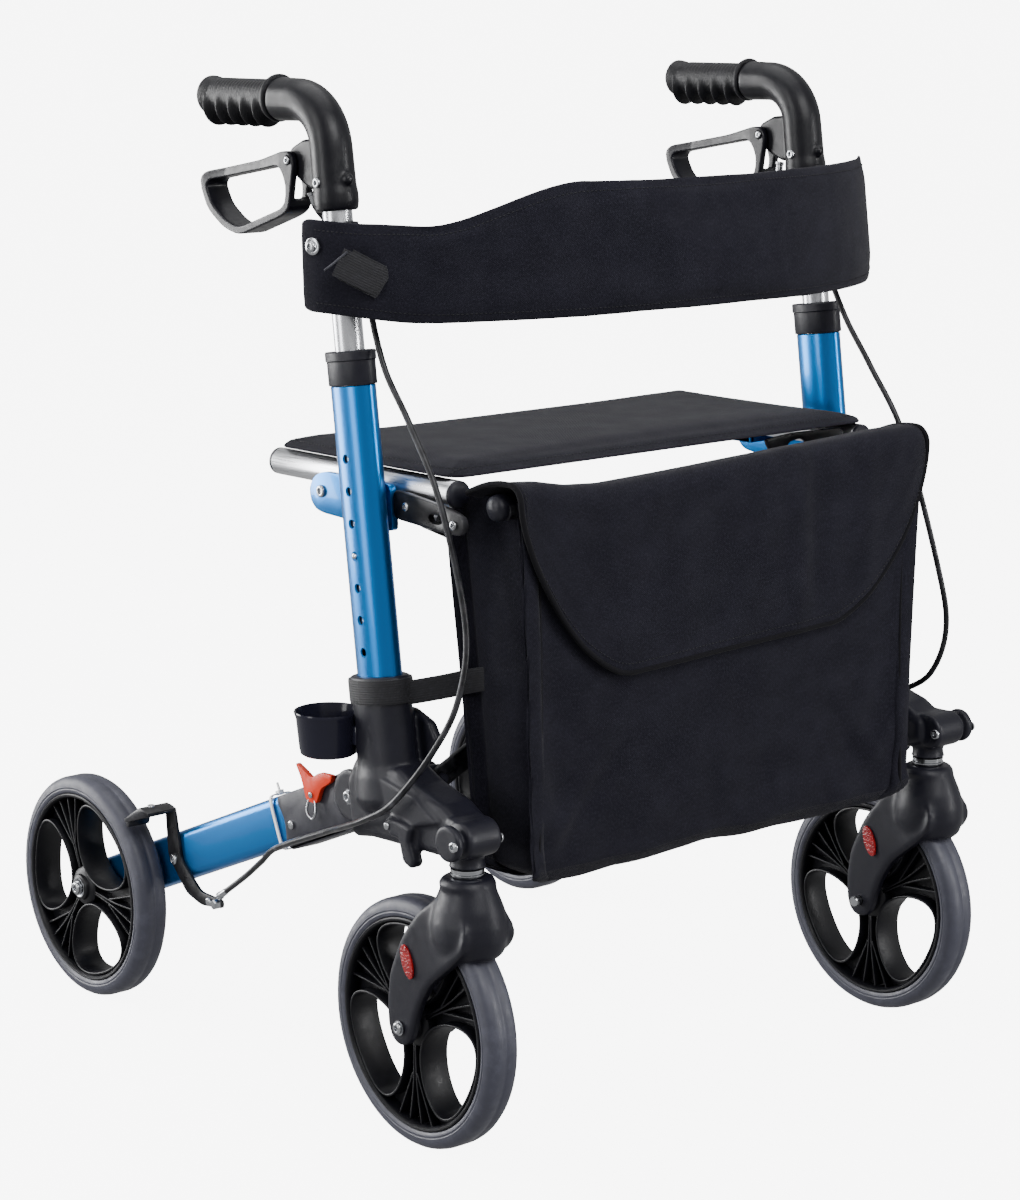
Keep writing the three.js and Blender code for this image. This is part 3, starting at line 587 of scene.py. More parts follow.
def side_casting():
    x, y = CASTER[0], CASTER[1]
    arm = plate("arm", [(-172, 284), (-182, 302), (-236, 302), (-256, 293), (-290, 284), (-312, 272),
                        (-312, 252), (-286, 243), (-250, 242), (-200, 240), (-178, 236)], 236, 270, edge=6,
                segments=3)
    barrel = lathe("barrel", [(0, 241), (13, 241), (14.8, 243), (14.8, 271), (13, 273), (0, 273)], axis="x",
                   centre=(0, y - 11, 262))
    block = plate("block", [(y + 6, 250), (y + 6, 277), (y - 11, 277), (y - 11, 247)], 241, 271, edge=3)
    lobe = lathe("lobe", [(0, 270), (9, 270), (9, 277), (13, 277.5), (14.2, 279), (14.2, 283), (13, 284.6),
                          (0, 284.6)], axis="x", centre=(0, y - 11, 262))
    neck = lathe("neck", [(0, 237), (13.6, 237), (14.6, 238), (13.2, 240), (12.6, 250), (15, 262), (0, 263)],
                 centre=(x, y, 0))
    foot = on_mast(loft("foot", ellipse_rings([(14, 19, 30), (22, 23, 34), (40, 22, 32), (52, 19.5, 28.5)])))
    socket = on_mast(loft("socket", ellipse_rings([(38, 20.4, 29.4), (110, 19.2, 27.8), (112, 20.2, 28.8),
                                                   (117, 20.2, 28.8), (118.5, 19, 27.6)])))
    cheek_outline = fillet([(-168, 292), (-168, 238), (HINGE[1] - 6, HINGE[2] - 22),
                            (HINGE[1] + 8, HINGE[2] - 21.5), (HINGE[1] + 19, HINGE[2] - 13),
                            (HINGE[1] + 23, HINGE[2]), (HINGE[1] + 19, HINGE[2] + 13),
                            (HINGE[1] + 8, HINGE[2] + 21.5), (HINGE[1] - 6, HINGE[2] + 22), (-158, 284)], 8)
    cheeks = [plate("cheek", cheek_outline, low, low + 6, edge=1.6) for low in (202.4, 235.6)]
    bridge = plate("bridge", [(-168, 236), (-168, 290), (-205, 292), (-205, 241)], 202.4, 241.6, edge=5,
                   segments=3)
    web = loft("web", [[(x + a, -196 - 3 * t, z + b) for a, b in oval(3.5, 4)] for t, z in
                       ((0, 300), (1, 320), (2, 352))])
    hook = plate("hook", [(-200, 341), (-215, 341), (-236, 334), (-245, 321), (-229, 298), (-200, 300)],
                 229, 237, edge=2)
    kerb = plate("kerb", [(-228, 262), (-236, 266), (-262, 262), (-259, 250), (-266, 234), (-261, 229),
                          (-251, 233), (-246, 250), (-236, 250)], 266, 277, edge=2)
    rib = plate("rib", [(-205, 296), (-262, 286), (-290, 270), (-262, 262), (-214, 268)], 268, 273, edge=2)
    lug = plate("lug", [(210, 276), (243, 273), (243, 297), (210, 294), (206, 285)], -223.5, -218.5, "y", 1.2)
    bore = on_mast(loft("bore", ellipse_rings([(39.7, 14.3, 22.8), (130, 14.3, 22.8)])))
    stem = lathe("stem bore", [(0, 228), (14, 228), (14, 238), (8.3, 239), (8.3, 272), (0, 272)], 32,
                 centre=(x, y, 0))
    pin = lathe("pin bore", [(0, 190), (5.3, 190), (5.3, 270), (0, 270)], 24, "x", (0, HINGE[1], HINGE[2]))
    solids = [arm, barrel, block, neck, foot, socket, bridge, lobe, hook, kerb, rib, lug, web, *cheeks]
    obj = moulded_union("side_casting", solids, 1.45, 5, (bore, stem, pin))
    brace_pin = lathe("brace pin", [(0, -232), (4, -232), (4, -210), (0, -210)], 20, "y", (RAIL[0], 0, 285))
    return joined("side_casting", [obj, brace_pin])


def casting_bolts():
    y = CASTER[1] - 10
    parts = [bolt("b", (284.4, y - 11, 262), 4.2, 2.4), bolt("b", (241.2, y - 11, 262), 4.2, 2.2, out=-1),
             bolt("b", (276.6, -233, 258), 3.0, 1.6, socket=False)]
    return joined("casting_bolts", parts)


def upright_tube():
    outer, lip, inner = oval(14, 22.5, 72), oval(13.5, 22, 72), oval(12.3, 20.8, 72)
    levels = ((40, inner), (40, lip), (40.6, outer), (342.8, outer), (343.4, lip), (343.4, inner))
    obj = loft("upright_tube", [[(a, b, s) for a, b in ring] for s, ring in levels], closed=True)
    for i in range(HOLES):
        drill = lathe("drill", [(0, 8), (3.0, 8), (3.0, 13.1), (4.1, 14.3), (4.1, 18), (0, 18)], 24, "x",
                      (0, 0, FIRST_HOLE + HOLE_PITCH * i))
        cut_out(obj, [drill])
    return on_mast(obj)


def height_button():
    """The spring button of the inner post, in the fourth hole."""
    cap = [(0, 4), (2.7, 4), (2.7, 13.6), (2.2, 14.8), (1.2, 15.3), (0, 15.4)]
    return on_mast(lathe("height_button", cap, 20, "x", (0, 0, FIRST_HOLE + HOLE_PITCH * SET_HOLE)))


def upright_collar():
    levels = [(343.7, 15.0, 23.6), (344.4, 15.3, 24), (362, 15.3, 24), (363, 16.2, 25), (369, 16.2, 25),
              (370, 15.4, 24.2)]
    rings = ellipse_rings(levels)
    bore = [[(a, b, s) for a, b in circle(11.8, 56)] for s in (370, 343.7)]
    return on_mast(loft("upright_collar", rings + bore, closed=True))


def post_tube():
    profile = [(11, 150), (11.5, 150.6), (11.5, 519.4), (11, 520), (10, 520), (10, 150)]
    return on_mast(lathe("post_tube", profile, 48, ring=True))


def rail_bracket():
    outline = fillet([(-197, 478), (-194, 515), (-107, 515), (-95, 510), (-88.5, 500), (-90, 490),
                      (-97, 483.5), (-108, 481.5), (-122, 481)], 6)
    bar = plate("bar", [outline, circle(4, 20, (-176, 498))], 232.7, 238.7, edge=1.6)
    saddle = plate("saddle", [(-130, 494.2), (-96, 494.2), (-96, 500.6), (-130, 500.6)], 209, 235, edge=1.4)
    cradle = plate("cradle", [(209, 494.2), (214, 494.2), (214, 500), (209, 503)], -130, -96, "y", 0.8)
    return joined("rail_bracket", [bar, saddle, cradle])


def bag_bar():
    outline = fillet([(-197.5, 489), (-197.5, 512), (-262, 505), (-283, 500), (-283, 486), (-262, 485)], 7)
    return plate("bag_bar", [outline, oval(9, 4, 32, (-250, 495))], 232.7, 238.7, edge=1.5)


def bracket_bolts():
    parts = [bolt("b", (238.7, -105, 499), 5.0, 2.4), bolt("b", (238.7, -176, 498), 4.4, 2.4),
             bolt("b", (238.7, -214, 500), 3.6, 2.0), bolt("b", (238.7, -272, 493), 3.6, 2.0)]
    return joined("bracket_bolts", parts)


# ---- handles and brake levers ----
def elbow_path():
    height, bend = GRIP_HEIGHT, 40
    quarter = math.pi / 2 - LEAN
    straight = bend * math.tan(quarter / 2)
    centre_y, centre_z = mast_y(height) + straight, height - bend
    path = [(MAST[0], mast_y(z), z) for z in np.linspace(723, 768, 8)]
    for angle in np.linspace(math.pi / 2 + quarter, math.pi / 2, 18):
        path.append((MAST[0], centre_y + bend * math.cos(angle), centre_z + bend * math.sin(angle)))
    path += [(MAST[0], y, height) for y in np.linspace(centre_y + 6, -82.3, 8)]
    return [p for i, p in enumerate(path) if i == 0 or math.dist(p, path[i - 1]) > 2]


def handle_elbow():
    path = elbow_path()
    reach = len(path) - 1

    def section(i, t):
        lip = {0: 16.2, 1: 17.6, 2: 17.6, reach: 16.4}.get(i, 17 - 0.8 * math.sin(math.pi * t))
        return circle(lip, 40)

    elbow = sweep("elbow", path, section, side=(1, 0, 0))
    lug = plate("lug", [(-150, 738), (-150, 779), (-114, 776), (-99, 769.5), (-95, 760), (-99, 751),
                        (-112, 743), (-125, 738)], 248, 258, edge=2.5)
    front = moved(lathe("front", [(0, 0), (4.6, 0), (4.2, 5), (2.6, 6.4), (0, 6.6)], 24, "z"),
                  shift(MAST[0], mast_y(748) - 14.6, 748) @ turn(90, "X"))
    bore = on_mast(lathe("bore", [(0, 440), (11.8, 440), (11.8, 522), (0, 522)], 40))
    obj = moulded_union("handle_elbow", [elbow, lug, front], 1.35, 4, (bore,))
    pin = lathe("pin", [(0, 242), (3, 242), (3, 264), (0, 264)], 20, "x", LEVER_PIN)
    return joined("handle_elbow", [obj, pin])


def handle_bolts():
    _, pin_y, pin_z = LEVER_PIN
    parts = []
    for out in (1, -1):
        parts.append(bolt("b", (MAST[0] + 16.2 * out, mast_y(745), 745), 4.0, 2.2, out=out))
        parts.append(bolt("b", (MAST[0] + 11 * out, pin_y, pin_z), 3.2, 1.8, out=out))
    return joined("handle_bolts", parts)


def grip():
    """A moulded grip with finger swells underneath and ribs on top."""
    start, length = -82.0, 97.0
    stations = np.linspace(0, 1, 120)
    rings = []
    for t in stations:
        along = t * length
        base = 14.6
        if along < 4.5:
            base = 19.4 - 0.25 * (abs(along - 2.2) ** 1.5)
        elif along < 8:
            base = 19 - 3.4 * (along - 4.5) / 3.5
        end = max(0.0, (along - (length - 15)) / 15)
        base += 1.9 * math.sin(math.pi * min(end * 1.25, 1) / 2) - 5.2 * max(0, end - 0.72) ** 1.4 / 0.28
        finger = 0.5 - 0.5 * math.cos(2 * math.pi * (along - 9) / 16.6) if 9 < along < 9 + 16.6 * 4.6 else 0
        ring = []
        for j in range(64):
            angle = 2 * math.pi * j / 64
            under = max(0.0, 0.12 - math.sin(angle)) ** 1.1 / 1.13
            over = max(0.0, math.sin(angle)) ** 2
            rib = 0.45 * over * (0.5 + 0.5 * math.cos(2 * math.pi * along / 4.2)) * (9 < along < length - 18)
            radius = base - 1.4 * under + 9.4 * under * finger ** 2.2 * (along > 8) + rib
            flat = 1 - 0.05 * abs(math.cos(angle))
            ring.append((MAST[0] + radius * flat * math.cos(angle), start + along,
                         GRIP_HEIGHT + radius * math.sin(angle)))
        rings.append(ring)
    obj = loft("grip", rings)
    return modified(obj, "SUBSURF", levels=1)


def brake_lever():
    outer = fillet([(-106, 767), (-96, 767), (-60, 758.5), (10, 747), (17, 742), (16, 733), (8, 717),
                    (-14, 703), (-32, 699), (-42, 700), (-93, 716), (-104, 722), (-107, 738), (-111, 757)], 9)
    inner = fillet([(-92, 756), (-60, 751.0), (5, 740.5), (9, 736), (2, 722), (-17, 709.5), (-32, 705.5),
                    (-41, 706.5), (-91, 722), (-98, 727), (-100, 740)], 9)
    obj = plate("brake_lever", [outer, inner], 242, 264, edge=1.9, segments=3)
    slot = plate("slot", [(-124, 730), (-82, 730), (-82, 782), (-124, 782)], 247.7, 258.3, edge=0)
    bore = lathe("bore", [(0, 235), (3.3, 235), (3.3, 270), (0, 270)], 20, "x", LEVER_PIN)
    cut_out(obj, (slot, bore))
    modified(obj, "REMESH", mode="VOXEL", voxel_size=1.0 * MM, adaptivity=0)
    modified(obj, "SMOOTH", factor=0.5, iterations=3)
    for vertex in obj.data.vertices:
        y, z = vertex.co.y / MM, vertex.co.z / MM
        top = min(max((z - 733 + 0.14 * y) / 14, 0), 1)
        rear = min(max((y + 92) / 30, 0), 1) * min(max((12 - y) / 26, 0), 1)
        narrow = 1 - 0.36 * top * rear
        vertex.co.x = (MAST[0] + (vertex.co.x / MM - MAST[0]) * narrow) * MM
    return obj


# ---- folding legs ----
def on_leg(obj):
    return moved(obj, ON_LEG)


def rear_leg():
    outer = rounded_rectangle(10, 21.5, 6, 5)
    inner = rounded_rectangle(8, 19.5, 4, 5)
    lip = [(0.96 * a, 0.98 * b) for a, b in outer]
    levels = ((18, inner), (18, lip), (18.6, outer), (LEG_LENGTH + 15.4, outer), (LEG_LENGTH + 16, lip),
              (LEG_LENGTH + 16, inner))
    obj = loft("rear_leg", [[(a, s, b) for a, b in ring] for s, ring in levels], closed=True)
    bore = lathe("bore", [(0, -30), (5.3, -30), (5.3, 30), (0, 30)], 24, "x", (0, LEG_LENGTH, 0))
    return on_leg(cut_out(obj, [bore]))


def leg_end_plug():
    """The plastic plug in the leg's lower end."""
    outline = rounded_rectangle(9.6, 21, 6, 5)
    levels = ((LEG_LENGTH + 16.2, 1.0), (LEG_LENGTH + 18, 1.0), (LEG_LENGTH + 19.4, 0.86))
    return on_leg(loft("leg_end_plug", [[(a * k, s, b * k) for a, b in outline] for s, k in levels]))


def leg_sleeve():
    side = fillet([(-22, 0), (-15.5, -15.5), (0, -22), (24, -25.8), (108, -25.8), (112, -18.8), (107, 0),
                   (112, 16), (108, 20), (40, 20), (14, 21), (0, 22), (-15.5, 15.5)], 7)
    bore = circle(5.3, 24)
    plates = [plate("side", [side, bore], low, low + 3, edge=0.9) for low in (10.3, -13.3)]
    web = plate("web", [(24, -25.8), (108, -25.8), (108, -21.8), (24, -21.8)], -13.3, 13.3, edge=1.2)
    hub = plate("hub", [circle(17, 40), bore], -13.3, 13.3, edge=0.8)
    rings = [plate("ring", [circle(15.5, 40), circle(9.5, 32)], low, low + 0.9, edge=0.3)
             for low in (13.1, -14.0)]
    return on_leg(joined("leg_sleeve", [*plates, web, hub, *rings]))


def leg_rivets():
    parts = [bolt("r", (13.3 * out, 99, -6), 3.8, 1.9, out=out, socket=False) for out in (1, -1)]
    return on_leg(joined("leg_rivets", parts))


def cross_bolt(name, centre, low, high, shank, head, height):
    """A bolt along x with a round socket head on the outside and a domed nut on the inside."""
    rod = lathe(name, [(0, low), (shank, low), (shank, high), (0, high)], 28, "x")
    face = high + 0.9
    washer = lathe(name, [(shank, high), (head * 1.25, high), (head * 1.25, face), (shank, face)], 32, "x",
                   ring=True)
    parts = [rod, washer, bolt(name, (face, 0, 0), head, height - 0.9),
             bolt(name, (low, 0, 0), head, height, out=-1, socket=False)]
    return moved(joined(name, parts), shift(*centre))


def zip_tie():
    """The white tie that holds the cable to the leg, with its head and cut tail."""
    middle = (-21 - HINGE[1]) / math.cos(LEG_SLOPE) - 3
    squared = [[math.copysign(abs(a) ** 0.32, a) for a in (math.cos(t), math.sin(t))]
               for t in np.linspace(0, 2 * math.pi, 72, endpoint=False)]
    ring = [(10.9 * a, 22.6 * b) for a, b in squared]
    rings = [[(a * k, middle + s, b * (1 + (k - 1) * 0.5)) for a, b in ring] for s, k in
             ((-1.5, 1.0), (-1.5, 1.12), (1.5, 1.12), (1.5, 1.0))]
    band = loft("band", rings, closed=True)
    head = plate("head", [(middle - 3, 22.2), (middle + 3, 22.2), (middle + 3, 26.4), (middle - 3, 26.4)],
                 -2.6, 2.8, edge=0.7)
    tail = plate("tail", [(middle - 1.3, 26), (middle + 1.3, 26), (middle + 1.6, 33), (middle - 0.6, 33)],
                 -0.6, 0.6, edge=0.3)
    return on_leg(joined("zip_tie", [band, head, tail]))


def latch_lever():
    """A red finger latch with a wing over the leg."""
    outline = fillet([(-62, 270), (-70, 258), (-77, 240), (-90.5, 239.5), (-97, 254), (-111, 262), (-113, 268),
                      (-95, 267), (-84, 260), (-77, 264)], 4)
    return plate("wing", outline, 236, 240.3, edge=1.3)


def latch_hook():
    """The latch's wire ring, and the screw that it hangs from."""
    x = 239.2
    wire = tube("hook", [(x, -88, 242), (x + 1.6, -90, 232), (x + 1.2, -84, 226), (x + 1.6, -78, 232),
                         (x, -80, 242)], 1.1, 40, 10)
    return joined("latch_hook", [wire, bolt("s", (240.3, -84, 246), 2.6, 1.5, socket=False)])


def brake_arm():
    outline = fillet([(127, 191), (141, 193.5), (138, 146), (111, 118), (88, 112), (57, 116), (57, 123),
                      (90, 124), (118, 146)], 5)
    arm = plate("arm", outline, 232.3, 235.3, edge=0.7)
    pad = plate("pad", [(127, 187.6), (127, 190.6), (141, 193.2), (166.5, 177.7), (164.7, 175)], 232.3, 262,
                edge=0.7)
    lip = plate("lip", [(160, 176.5), (166.5, 177.7), (165.4, 171), (162.6, 170.4)], 238, 260, edge=0.8)
    return joined("brake_arm", [arm, pad, lip])


def brake_arm_bolts():
    clamp = lathe("clamp", [(0, 235.3), (4.4, 235.3), (4.4, 240.5), (3.6, 241.5), (0, 241.5)], 6, "x",
                  (0, 62, 119.5))
    parts = [bolt("b", (235.3, 128, 144.7), 4.6, 2.6), bolt("b", (235.3, 76, 118), 3.8, 2.2, socket=False),
             clamp, bolt("b", (250, 140, 192.2), 3.6, 1.8, "z", socket=False)]
    return joined("brake_arm_bolts", parts)


# ---- wheels and casters ----
def mirrored_profile(half):
    """Closes a profile given from its middle outwards on one side."""
    return half + [(radius, -across) for radius, across in reversed(half)]


def tyre(centre):
    """A solid tyre with a nearly flat tread, round shoulders and a moulded line on each side."""
    half = [(99.8, 1.2), (100, 1.6), (100, 6.5), (99.4, 9.4), (97.8, 12), (95.4, 13.8), (92.6, 14.7),
            (90.4, 14.9), (89.8, 14.4), (89.0, 14.4), (88.4, 14.8), (86.6, 14.6), (85.4, 13.6), (85.3, 11)]
    return lathe("tyre", mirrored_profile(half), 144, "x", centre, ring=True)


OPENING = (50.5, 30.0, 41.0)                    # one opening's middle radius and its half sizes
RIM_FACING = {"rear": 8, "front": 90}           # the first opening, in degrees up from the rear
RIB_REACH = 81


def turned(outline, facing):
    """Points drawn along the y axis, turned towards the given direction up from the rear."""
    c, s = math.cos(facing), math.sin(facing)
    return [(along * c - across * s, along * s + across * c) for along, across in outline]


def rim_opening(facing, grow):
    """The outline of one oval opening, wider towards the tyre."""
    middle, half_height, half_width = OPENING
    outline = []
    for t in np.linspace(0, 2 * math.pi, 72, endpoint=False):
        along = middle + (half_height + grow) * math.cos(t) - 2.6 * math.cos(2 * t)
        outline.append((along, (half_width + grow) * math.sin(t) * (1 + 0.14 * math.cos(t))))
    return turned(outline, facing)


def rim(centre, first_opening):
    """A deep moulded rim: three oval openings with walls, and recessed, ribbed spokes between them."""
    facings = [math.radians(first_opening) + 2 * math.pi * k / 3 for k in range(3)]
    lip = [(85, 10.8), (84.8, 14.2), (83.8, 15), (82.4, 14.8), (81.2, 13.2), (81, 8)]
    parts = [lathe("barrel", mirrored_profile(lip), 128, "x", ring=True)]
    for facing in facings:
        parts.append(plate("wall", [rim_opening(facing, 2.2), rim_opening(facing, 0)], -13.4, 13.4, edge=0.9))
    web = [circle(82, 112)] + [rim_opening(facing, 1.0) for facing in facings]
    parts.append(plate("web", web, -2.5, 2.5, edge=0))
    for facing in facings:
        for spread, start in ((-10, 40), (-3.4, 16), (3.4, 16), (10, 40)):
            bow = 0.18 * spread
            middle = spline([(start, 0.25 * spread, 0), (0.6 * RIB_REACH, 0.45 * spread + bow, 0),
                             (RIB_REACH - 1, 2.1 * spread, 0)], 14)
            blade = [(p[0], p[1] - 0.8) for p in middle] + [(p[0], p[1] + 0.8) for p in reversed(middle)]
            for low, high in ((2, 10.8), (-10.8, -2)):
                parts.append(plate("rib", turned(blade, facing + math.pi / 3), low, high, edge=0.4))
    hub = [(4.8, 16.5), (9.6, 16.5), (11.2, 15.4), (11.8, 13), (15, 12.6), (17.6, 10), (18, 2)]
    parts.append(lathe("hub", mirrored_profile(hub), 48, "x", ring=True))
    return moved(joined("rim", parts), shift(*centre))


def bearing(centre):
    """A steel bearing face with its dark seal on each side of the hub."""
    race = lathe("race", [(4.6, 16.3), (9.2, 16.3), (9.2, 17.0), (8.2, 17.1), (7.8, 16.8), (5.8, 16.8),
                          (5.6, 17.1), (4.6, 17.1)], 40, "x", ring=True)
    return moved(joined("bearing", [race, mirrored(race, "race")]), shift(*centre))


def caster_fork():
    """A moulded fork: a domed shoulder under the neck runs down into two wide, flat arms."""
    outline = fillet([(-26, 180), (-9, 164), (18, 143), (31, 124), (38, 108), (41.5, 96), (47, 87.5), (57, 84),
                      (67, 88.5), (71, 99), (72, 114), (68, 142), (53, 172), (33, 199), (14, 214), (-14, 210),
                      (-27, 194)], 8, 4)
    legs = plate("legs", outline, -26.4, 26.4, edge=7, segments=4)
    for vertex in legs.data.vertices:
        vertex.co.x *= 1 - 0.3 * smooth_step((vertex.co.z / MM - 184) / 34)
    crown = lathe("crown", [(0, 167), (20, 167), (25.2, 172), (27.9, 183), (27.7, 195), (25.2, 207),
                            (21.4, 217), (19.6, 222), (0, 222)], 48)
    moved(crown, shift(0, -1, 0) @ Matrix.Diagonal((1, 1.17, 1, 1)))
    neck = lathe("neck", [(0, 206), (22, 206), (20.6, 218), (20.0, 222), (22.4, 223.6), (22.4, 226),
                          (20.2, 227.2), (19.6, 229.8), (0, 230)], 48)
    obj = moulded_union("caster_fork", [legs, crown, neck], 1.5, 24)
    for vertex in obj.data.vertices:
        out, height = abs(vertex.co.x / MM), vertex.co.z / MM
        if height < 190 and out > 18:
            reach = min(max((height - 100) / 90, 0), 1)
            vertex.co.x *= (18 + (out - 18) * (0.8 + 0.2 * reach)) / out
    wheel_gap = lathe("gap", [(0, -18), (92, -18), (103, -15), (104.4, -9), (104.4, 9), (103, 15), (92, 18),
                              (0, 18)], 96, "x", (0, TRAIL, 100))
    axle_bore = lathe("axle", [(0, -40), (4.5, -40), (4.5, 40), (0, 40)], 24, "x", (0, TRAIL, 100))
    stem_bore = lathe("stem", [(0, 195), (6.4, 195), (6.4, 236), (0, 236)], 24)
    cut_out(obj, (wheel_gap, axle_bore, stem_bore))
    return moved(obj, shift(*CASTER))


def caster_stem():
    profile = [(0, 196.5), (5.9, 196.5), (5.9, 230.4), (13, 230.4), (13.4, 231), (13.4, 232.8), (12.6, 233.4),
               (12.6, 234.6), (13.2, 235), (13.2, 236.4), (12.6, 236.8), (7.9, 236.8), (7.9, 271), (0, 271)]
    return lathe("caster_stem", profile, 40, centre=CASTER)


def reflector(x_from, out):
    """A ribbed oval lens, proud of its bezel."""
    tilt = -0.36
    y, z = CASTER[1] + 42, 157

    def ring(half_a, half_b):
        return [(y + a * math.cos(tilt) - b * math.sin(tilt), z + a * math.sin(tilt) + b * math.cos(tilt))
                for a, b in oval(half_a, half_b, 40)]

    low, high = sorted((x_from, x_from + 1.7 * out))
    lens = plate("lens", ring(6.2, 13.6), low, high, edge=0.7)
    ribs = []
    for k in range(-2, 3):
        height = 4.6 * k
        half = 5.8 * math.sqrt(max(0.05, 1 - (height / 13.6) ** 2))
        centre = (y - height * math.sin(tilt), z + height * math.cos(tilt))
        low, high = sorted((x_from + 1.3 * out, x_from + 2.1 * out))
        ribs.append(plate("rib", [(centre[0] + a, centre[1] + b) for a, b in oval(half, 1.1, 20)], low, high,
                          edge=0.3))
    return joined("caster_reflector", [lens, *ribs])


# ---- cloth ----
def sheet_grid(name, place, size, across, along):
    """A thick or thin closed slab on an even grid. place(u, v, side) is a point, u and v from 0 to 1."""
    corners, faces, uvs = [], [], []
    index = {}
    for side in (1, -1):
        for j in range(along + 1):
            for i in range(across + 1):
                index[side, i, j] = len(corners)
                corners.append(tuple(place(i / across, j / along, side)))
                uvs.append((i / across * size[0] * MM, j / along * size[1] * MM))
    for j in range(along):
        for i in range(across):
            for side in (1, -1):
                face = [index[side, i, j], index[side, i + 1, j], index[side, i + 1, j + 1],
                        index[side, i, j + 1]]
                faces.append(tuple(face if side > 0 else face[::-1]))
    border = [(i, 0) for i in range(across)] + [(across, j) for j in range(along)]
    border += [(i, along) for i in range(across, 0, -1)] + [(0, j) for j in range(along, 0, -1)]
    for k, here in enumerate(border):
        after = border[(k + 1) % len(border)]
        faces.append((index[(1, *after)], index[(1, *here)], index[(-1, *here)], index[(-1, *after)]))
    obj = build(name, corners, faces)
    layer = obj.data.uv_layers.new(name="UVMap")
    for loop in obj.data.loops:
        layer.data[loop.index].uv = uvs[loop.vertex_index]
    return obj


def simulated(obj, pinned, cap, pressure, gravity=0.0, stiffness=12.0, frames=20):
    """Lets cloth settle, keeps the pinned corners, and caps how far the others move."""
    before = np.array([vertex.co for vertex in obj.data.vertices])
    group = obj.vertex_groups.new(name="pinned")
    for i, vertex in enumerate(obj.data.vertices):
        weight = pinned(vertex.co / MM)
        if weight > 0:
            group.add([i], weight, "REPLACE")
    cloth = obj.modifiers.new("cloth", "CLOTH")
    settings = cloth.settings
    settings.vertex_group_mass = "pinned"
    settings.quality = 6
    settings.mass = 0.25
    settings.use_pressure = True
    settings.uniform_pressure_force = pressure
    settings.tension_stiffness = settings.compression_stiffness = stiffness
    settings.bending_stiffness = 0.6
    settings.effector_weights.gravity = gravity
    cloth.collision_settings.use_collision = False
    for frame_number in range(1, frames + 1):
        SCENE.frame_set(frame_number)
    bake(obj)
    SCENE.frame_set(1)
    after = np.array([vertex.co for vertex in obj.data.vertices])
    step = after - before
    length = np.linalg.norm(step, axis=1, keepdims=True)
    limit = cap * MM
    held = step / np.maximum(length, 1e-9) * (limit * np.tanh(length / limit))
    obj.data.vertices.foreach_set("co", (before + held).ravel())
    return obj


def curve_point(line, t):
    """A point and the direction at share t of an evenly spaced line."""
    place = t * (len(line) - 1)
    i = min(int(place), len(line) - 2)
    point = line[i] + (line[i + 1] - line[i]) * (place - i)
    before, after = line[max(i - 1, 0)], line[min(i + 2, len(line) - 1)]
    direction = after - before
    return point, direction / np.linalg.norm(direction)


BACK_HALF = [(0, -295), (60, -293), (115, -286), (165, -272), (210, -252), (248, -224), (274, -198),
             (288, -178), (292, -160)]
BACK_LINE = spline([(-x, y, 0) for x, y in BACK_HALF[:0:-1]] + [(x, y, 0) for x, y in BACK_HALF], 241)[:, :2]
BACK_LENGTH = float(np.linalg.norm(np.diff(BACK_LINE, axis=0), axis=1).sum())


def back_edges(t):
    """The lower and upper edge of the back strap at share t of its length."""
    distance = min(t, 1 - t) * BACK_LENGTH
    if t < 0.5:
        rise = 0.12 * smooth_step(1 - distance / 60) + smooth_step((distance - 95) / 135)
    else:
        rise = 0.3 + 0.7 * smooth_step((distance - 22) / 44)
    low = 650 - 9 * smooth_step(distance / 110)
    high = 717 + 29 * rise
    corner = max(0.0, 1 - distance / (7 if t < 0.5 else 16))
    return low + 3 * corner ** 2, high - (3 if t < 0.5 else 9) * corner ** 2


def back_place(t, v, off):
    """A point on the back strap: along it, up it, and off its middle in millimetres."""
    point, direction = curve_point(BACK_LINE, t)
    low, high = back_edges(t)
    z = low + (high - low) * v
    lean = 0.125 * (z - 700) * smooth_step(0.25 + t)
    return (point[0] - direction[1] * off, point[1] + direction[0] * off + lean, z)


def backrest():
    def place(u, v, side):
        edge = min(v, 1 - v) * 98
        end = min(u, 1 - u) * BACK_LENGTH
        fat = 1.3 + 2.9 * smooth_step(edge / 20) * (0.35 + 0.65 * smooth_step(end / 90))
        return back_place(u, v, -fat * side)

    def pinned(corner):
        return 1.0 if abs(corner.x) > 258 else 0.0

    obj = sheet_grid("backrest", place, (BACK_LENGTH, 100), 132, 20)
    simulated(obj, pinned, 3.2, 3.0)
    return modified(obj, "SUBSURF", levels=1)


